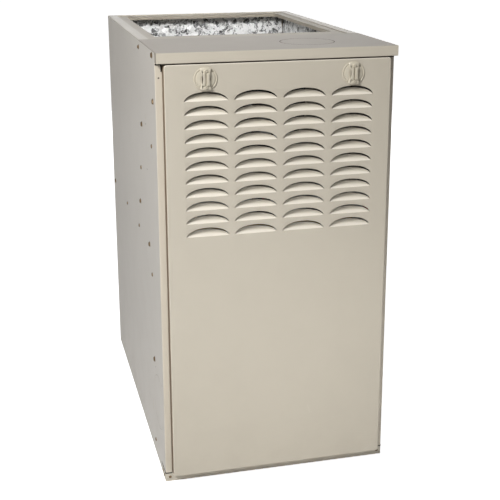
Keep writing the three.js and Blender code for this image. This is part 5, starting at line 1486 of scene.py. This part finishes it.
    def _cap_screws(self, shop: Workshop) -> None:
        """Builds the screws along the rear edge of the top cap.

        Args:
            shop: where the piece goes.
        """
        form = Form()
        for x in self.cap_places:
            place = Axis.UP.frame((x * MM, self.front + self.cap_depth, self.cap_height), x)
            form.turned(scaled(self.pan_head, MM, MM), place, 18)
        self._fit(shop, form, "cap_rear_screws", 40)

    def _vent_score(self, shop: Workshop) -> None:
        """Builds a dark ring, flush with the top cap, that paints the shade in the round vent knockout's
        scored groove.

        Args:
            shop: where the piece goes.
        """
        near, far = self.vent_radius - self.score, self.vent_radius + self.score
        profile = [(near, 0.0), (near, self.score_height), (far, self.score_height), (far, 0.0)]
        form = Form().turned(profile, Axis.UP.frame(self.vent_place), 96, caps=False)
        self._shade(shop, form, "vent_score_painted_shade", Finishes.punched, 30)

    def _back_screws(self, shop: Workshop) -> None:
        """Builds the two rows of screws that hold the back panel to the rear flanges.

        Args:
            shop: where the piece goes.
        """
        form = Form()
        for side in (-1, 1):
            for height in self.back_heights:
                place = Axis.BACK.frame(
                    (side * (self.half - self.back_in), self.back, height * MM), height)
                self._screw(form, place, self.back_radius, self.back_head)
        self._fit(shop, form, "back_panel_screws", 30)


@dataclass
class Insulation:
    """The three boards of foil-faced insulation round the heat cells."""

    pitch: float = 9 * MM
    wander: float = 0.36  # how far a fold strays, as a share of the pitch
    crumple: float = 4.2 * MM
    mean: float = 0.55  # the mean depth of a crumple, as a share
    swing: float = 0.45  # how far its depth swings about that
    wave_scale: float = 42
    wave_gain: float = 1.6
    layers: int = 2
    seed: int = 11

    def build(self, shop: Workshop) -> None:
        """Builds a crumpled board in place of each plain one.

        Args:
            shop: where the pieces go.
        """
        for word in ("left", "right", "back"):
            low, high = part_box(f"foil_liner_{word}")
            board = self._board(low, high, f"foil_board_{word}")
            shop.add(board, Body.CASING, Finishes.foil, [f"foil_liner_{word}"])

    def _board(self, low: Vector, high: Vector, name: str) -> bpy.types.Object:
        """Builds one board: a box whose skin is crumpled inward, faceted like foil.

        Args:
            low: its lowest corner.
            high: its highest corner.
            name: the object's name.

        Returns:
            The board.
        """
        dice = random.Random(f"{self.seed}{name}")
        form = Form()
        size = high - low
        counts = [max(1, round(length / self.pitch)) for length in size]
        thin = min(range(3), key=lambda k: size[k])
        counts[thin] = self.layers
        made: dict[tuple[int, ...], bmesh.types.BMVert] = {}

        def corner(index: tuple[int, ...]) -> bmesh.types.BMVert:
            """Gives the corner at three counts, made and crumpled on first use.

            Args:
                index: how many steps it lies along x, y and z.

            Returns:
                The corner.
            """
            if index not in made:
                place = Vector([low[k] + size[k] * index[k] / counts[k] for k in range(3)])
                for k in range(3):
                    inner = 0 < index[k] < counts[k]
                    room = self.pitch * self.wander if k != thin and inner else 0.0
                    place[k] += dice.uniform(-room, room)
                wave = noise.noise(place * self.wave_scale) * 0.5 + dice.uniform(-0.5, 0.5)
                depth = self.mean + self.swing * max(-1.0, min(1.0, wave * self.wave_gain))
                for k in range(3):
                    if index[k] in (0, counts[k]):
                        into = 1 if index[k] == 0 else -1
                        place[k] += into * self.crumple * depth
                made[index] = form.mesh.verts.new(place)
            return made[index]

        for k in range(3):
            a, b = [axis for axis in range(3) if axis != k]
            for end, i, j in product((0, counts[k]), range(counts[a]), range(counts[b])):
                quad = []
                for di, dj in ((0, 0), (1, 0), (1, 1), (0, 1)):
                    index = [0, 0, 0]
                    index[k], index[a], index[b] = end, i + di, j + dj
                    quad.append(corner(tuple(index)))
                if dice.random() < 0.5:
                    quad = quad[1:] + quad[:1]
                form.mesh.faces.new((quad[0], quad[1], quad[2]))
                form.mesh.faces.new((quad[0], quad[2], quad[3]))
        return form.object(name, Finishes.foil, smooth=6)


# ---- Stage -------------------------------------------------------------------------------


@dataclass(frozen=True)
class Lamp:
    """A square area lamp.

    Attributes:
        name: its name.
        place: where it stands.
        towards: the point it faces.
        size: the side of its square.
        power: in watts.
        spread: the angle of its beam, in degrees.
    """

    name: str
    place: Point
    towards: Point
    size: float
    power: float
    spread: float = 180.0

    def build(self) -> None:
        """Puts the lamp into the scene, unseen by the camera."""
        data = bpy.data.lights.new(self.name, "AREA")
        data.shape = "SQUARE"
        data.size = self.size
        data.energy = self.power
        data.spread = math.radians(self.spread)
        lamp = placed(self.name, data)
        lamp.visible_camera = False
        lamp.location = self.place
        ahead = Vector(self.towards) - Vector(self.place)
        lamp.rotation_euler = ahead.to_track_quat("-Z", "Y").to_euler()


@dataclass
class Stage:
    """The floor, the light and the camera."""

    lens: float = 73.16
    sensor: float = 36.0
    shift_y: float = -0.10
    eye: tuple[float, float, float] = (-0.4931, -2.1228, 1.0712)
    yaw: float = 13.952
    pitch: float = 15.48
    roll: float = -0.15
    clip: tuple[float, float] = (0.05, 100.0)
    floor_half: float = 30.0
    floor_height: float = -0.5 * MM
    floor_greys: tuple[float, float] = (0.80, 0.83)
    floor_glow: float = 0.90
    white: Colour = (1.0, 1.0, 1.0)
    soft: Colour = (1.0, 0.985, 0.965)
    soft_strength: float = 0.19
    lamps: tuple[Lamp, ...] = (
        Lamp("key", (-1.15, -1.45, 1.9), (-0.2, -0.3, 0.75), 0.45, 38.0),
        Lamp("low front", (0.12, -2.4, 0.15), (0.02, -0.37, 0.12), 0.8, 0.62, 26.0),
        Lamp("side", (-2.6, 0.5, 0.9), (0.0, 0.0, 0.45), 1.6, 6.0),
        Lamp("opening", (0.0, -0.9, 1.5), (0.0, 0.34, 0.79), 0.3, 0.3, 32.0),
        Lamp("rear", (0.8, 3.4, 0.9), (0.0, 0.3, 0.45), 2.4, 34.0))

    def build(self) -> None:
        """Builds the whole stage."""
        self._camera()
        self._floor()
        self._world()
        for lamp in self.lamps:
            lamp.build()

    def _camera(self) -> None:
        """Makes the camera at the photograph's place."""
        data = bpy.data.cameras.new("camera")
        data.lens = self.lens
        data.sensor_width = self.sensor
        data.shift_y = self.shift_y
        data.clip_start, data.clip_end = self.clip
        camera = placed("camera", data)
        yaw, pitch = math.radians(self.yaw), math.radians(self.pitch)
        ahead = Vector((math.sin(yaw) * math.cos(pitch), math.cos(yaw) * math.cos(pitch),
                        -math.sin(pitch)))
        camera.location = self.eye
        turned = ahead.to_track_quat("-Z", "Y").to_matrix().to_4x4()
        turned = turned @ Matrix.Rotation(math.radians(self.roll), 4, "Z")
        camera.rotation_euler = turned.to_euler()
        bpy.context.scene.camera = camera

    def _floor(self) -> None:
        """Makes the plain pale floor, white to the camera save for the object's shadow."""
        h, z = self.floor_half, self.floor_height
        form = Form().skin([[(-h, -h, z), (h, -h, z)], [(-h, h, z), (h, h, z)]], closed=False)
        shader = Shader(bpy.data.materials.new("pale_floor"))
        seen = self._seen(shader)
        dark, light = [(grey,) * 3 for grey in self.floor_greys]
        tone = shader.mix(shader.noise(2.0, 2.0), dark, light)
        matt = shader.node("ShaderNodeBsdfDiffuse", None, {"Color": tone})
        glow = shader.node("ShaderNodeEmission", None, {
            "Color": self.white, "Strength": self.floor_glow})
        lit = shader.node("ShaderNodeAddShader", None, {0: matt, 1: glow})
        shader.end(shader.node("ShaderNodeMixShader", None, {0: seen, 1: matt, 2: lit}))
        data = bpy.data.meshes.new("floor")
        form.mesh.to_mesh(data)
        form.mesh.free()
        data.materials.append(shader.owner)
        placed("floor", data)

    @staticmethod
    def _seen(shader: Shader) -> Value:
        """Gives 1 for rays that come straight from the camera."""
        return shader.node("ShaderNodeLightPath", output="Is Camera Ray")

    def _world(self) -> None:
        """Makes a world that is white to the camera and a soft grey to the object."""
        shader = Shader(bpy.data.worlds.new("studio"))
        soft = shader.node("ShaderNodeBackground", None, {
            "Color": self.soft, "Strength": self.soft_strength})
        white = shader.node("ShaderNodeBackground", None, {"Color": self.white, "Strength": 1.0})
        mixed = shader.node("ShaderNodeMixShader", None, {0: self._seen(shader), 1: soft, 2: white})
        shader.end(mixed, "ShaderNodeOutputWorld")
        bpy.context.scene.world = shader.owner


# ---- The furnace -------------------------------------------------------------------------


def main() -> None:
    """Builds the furnace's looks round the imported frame."""
    logging.basicConfig(level=logging.INFO, format="%(name)s %(message)s")
    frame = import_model()
    bpy.context.scene.view_settings.view_transform = "Standard"
    Stage().build()
    shop = Workshop(frame)
    shop.dress_nodes({"plenum_collar": Finishes.collarPaint, "top_cap": Finishes.capPaint})
    for assembly in (Door(), Latch(-1, Body.LATCH_LEFT), Latch(1, Body.LATCH_RIGHT), Fasteners(),
                     Insulation()):
        assembly.build(shop)
    LOG.info("%d fine pieces", len(shop.made))


if __name__ == "__main__":
    main()
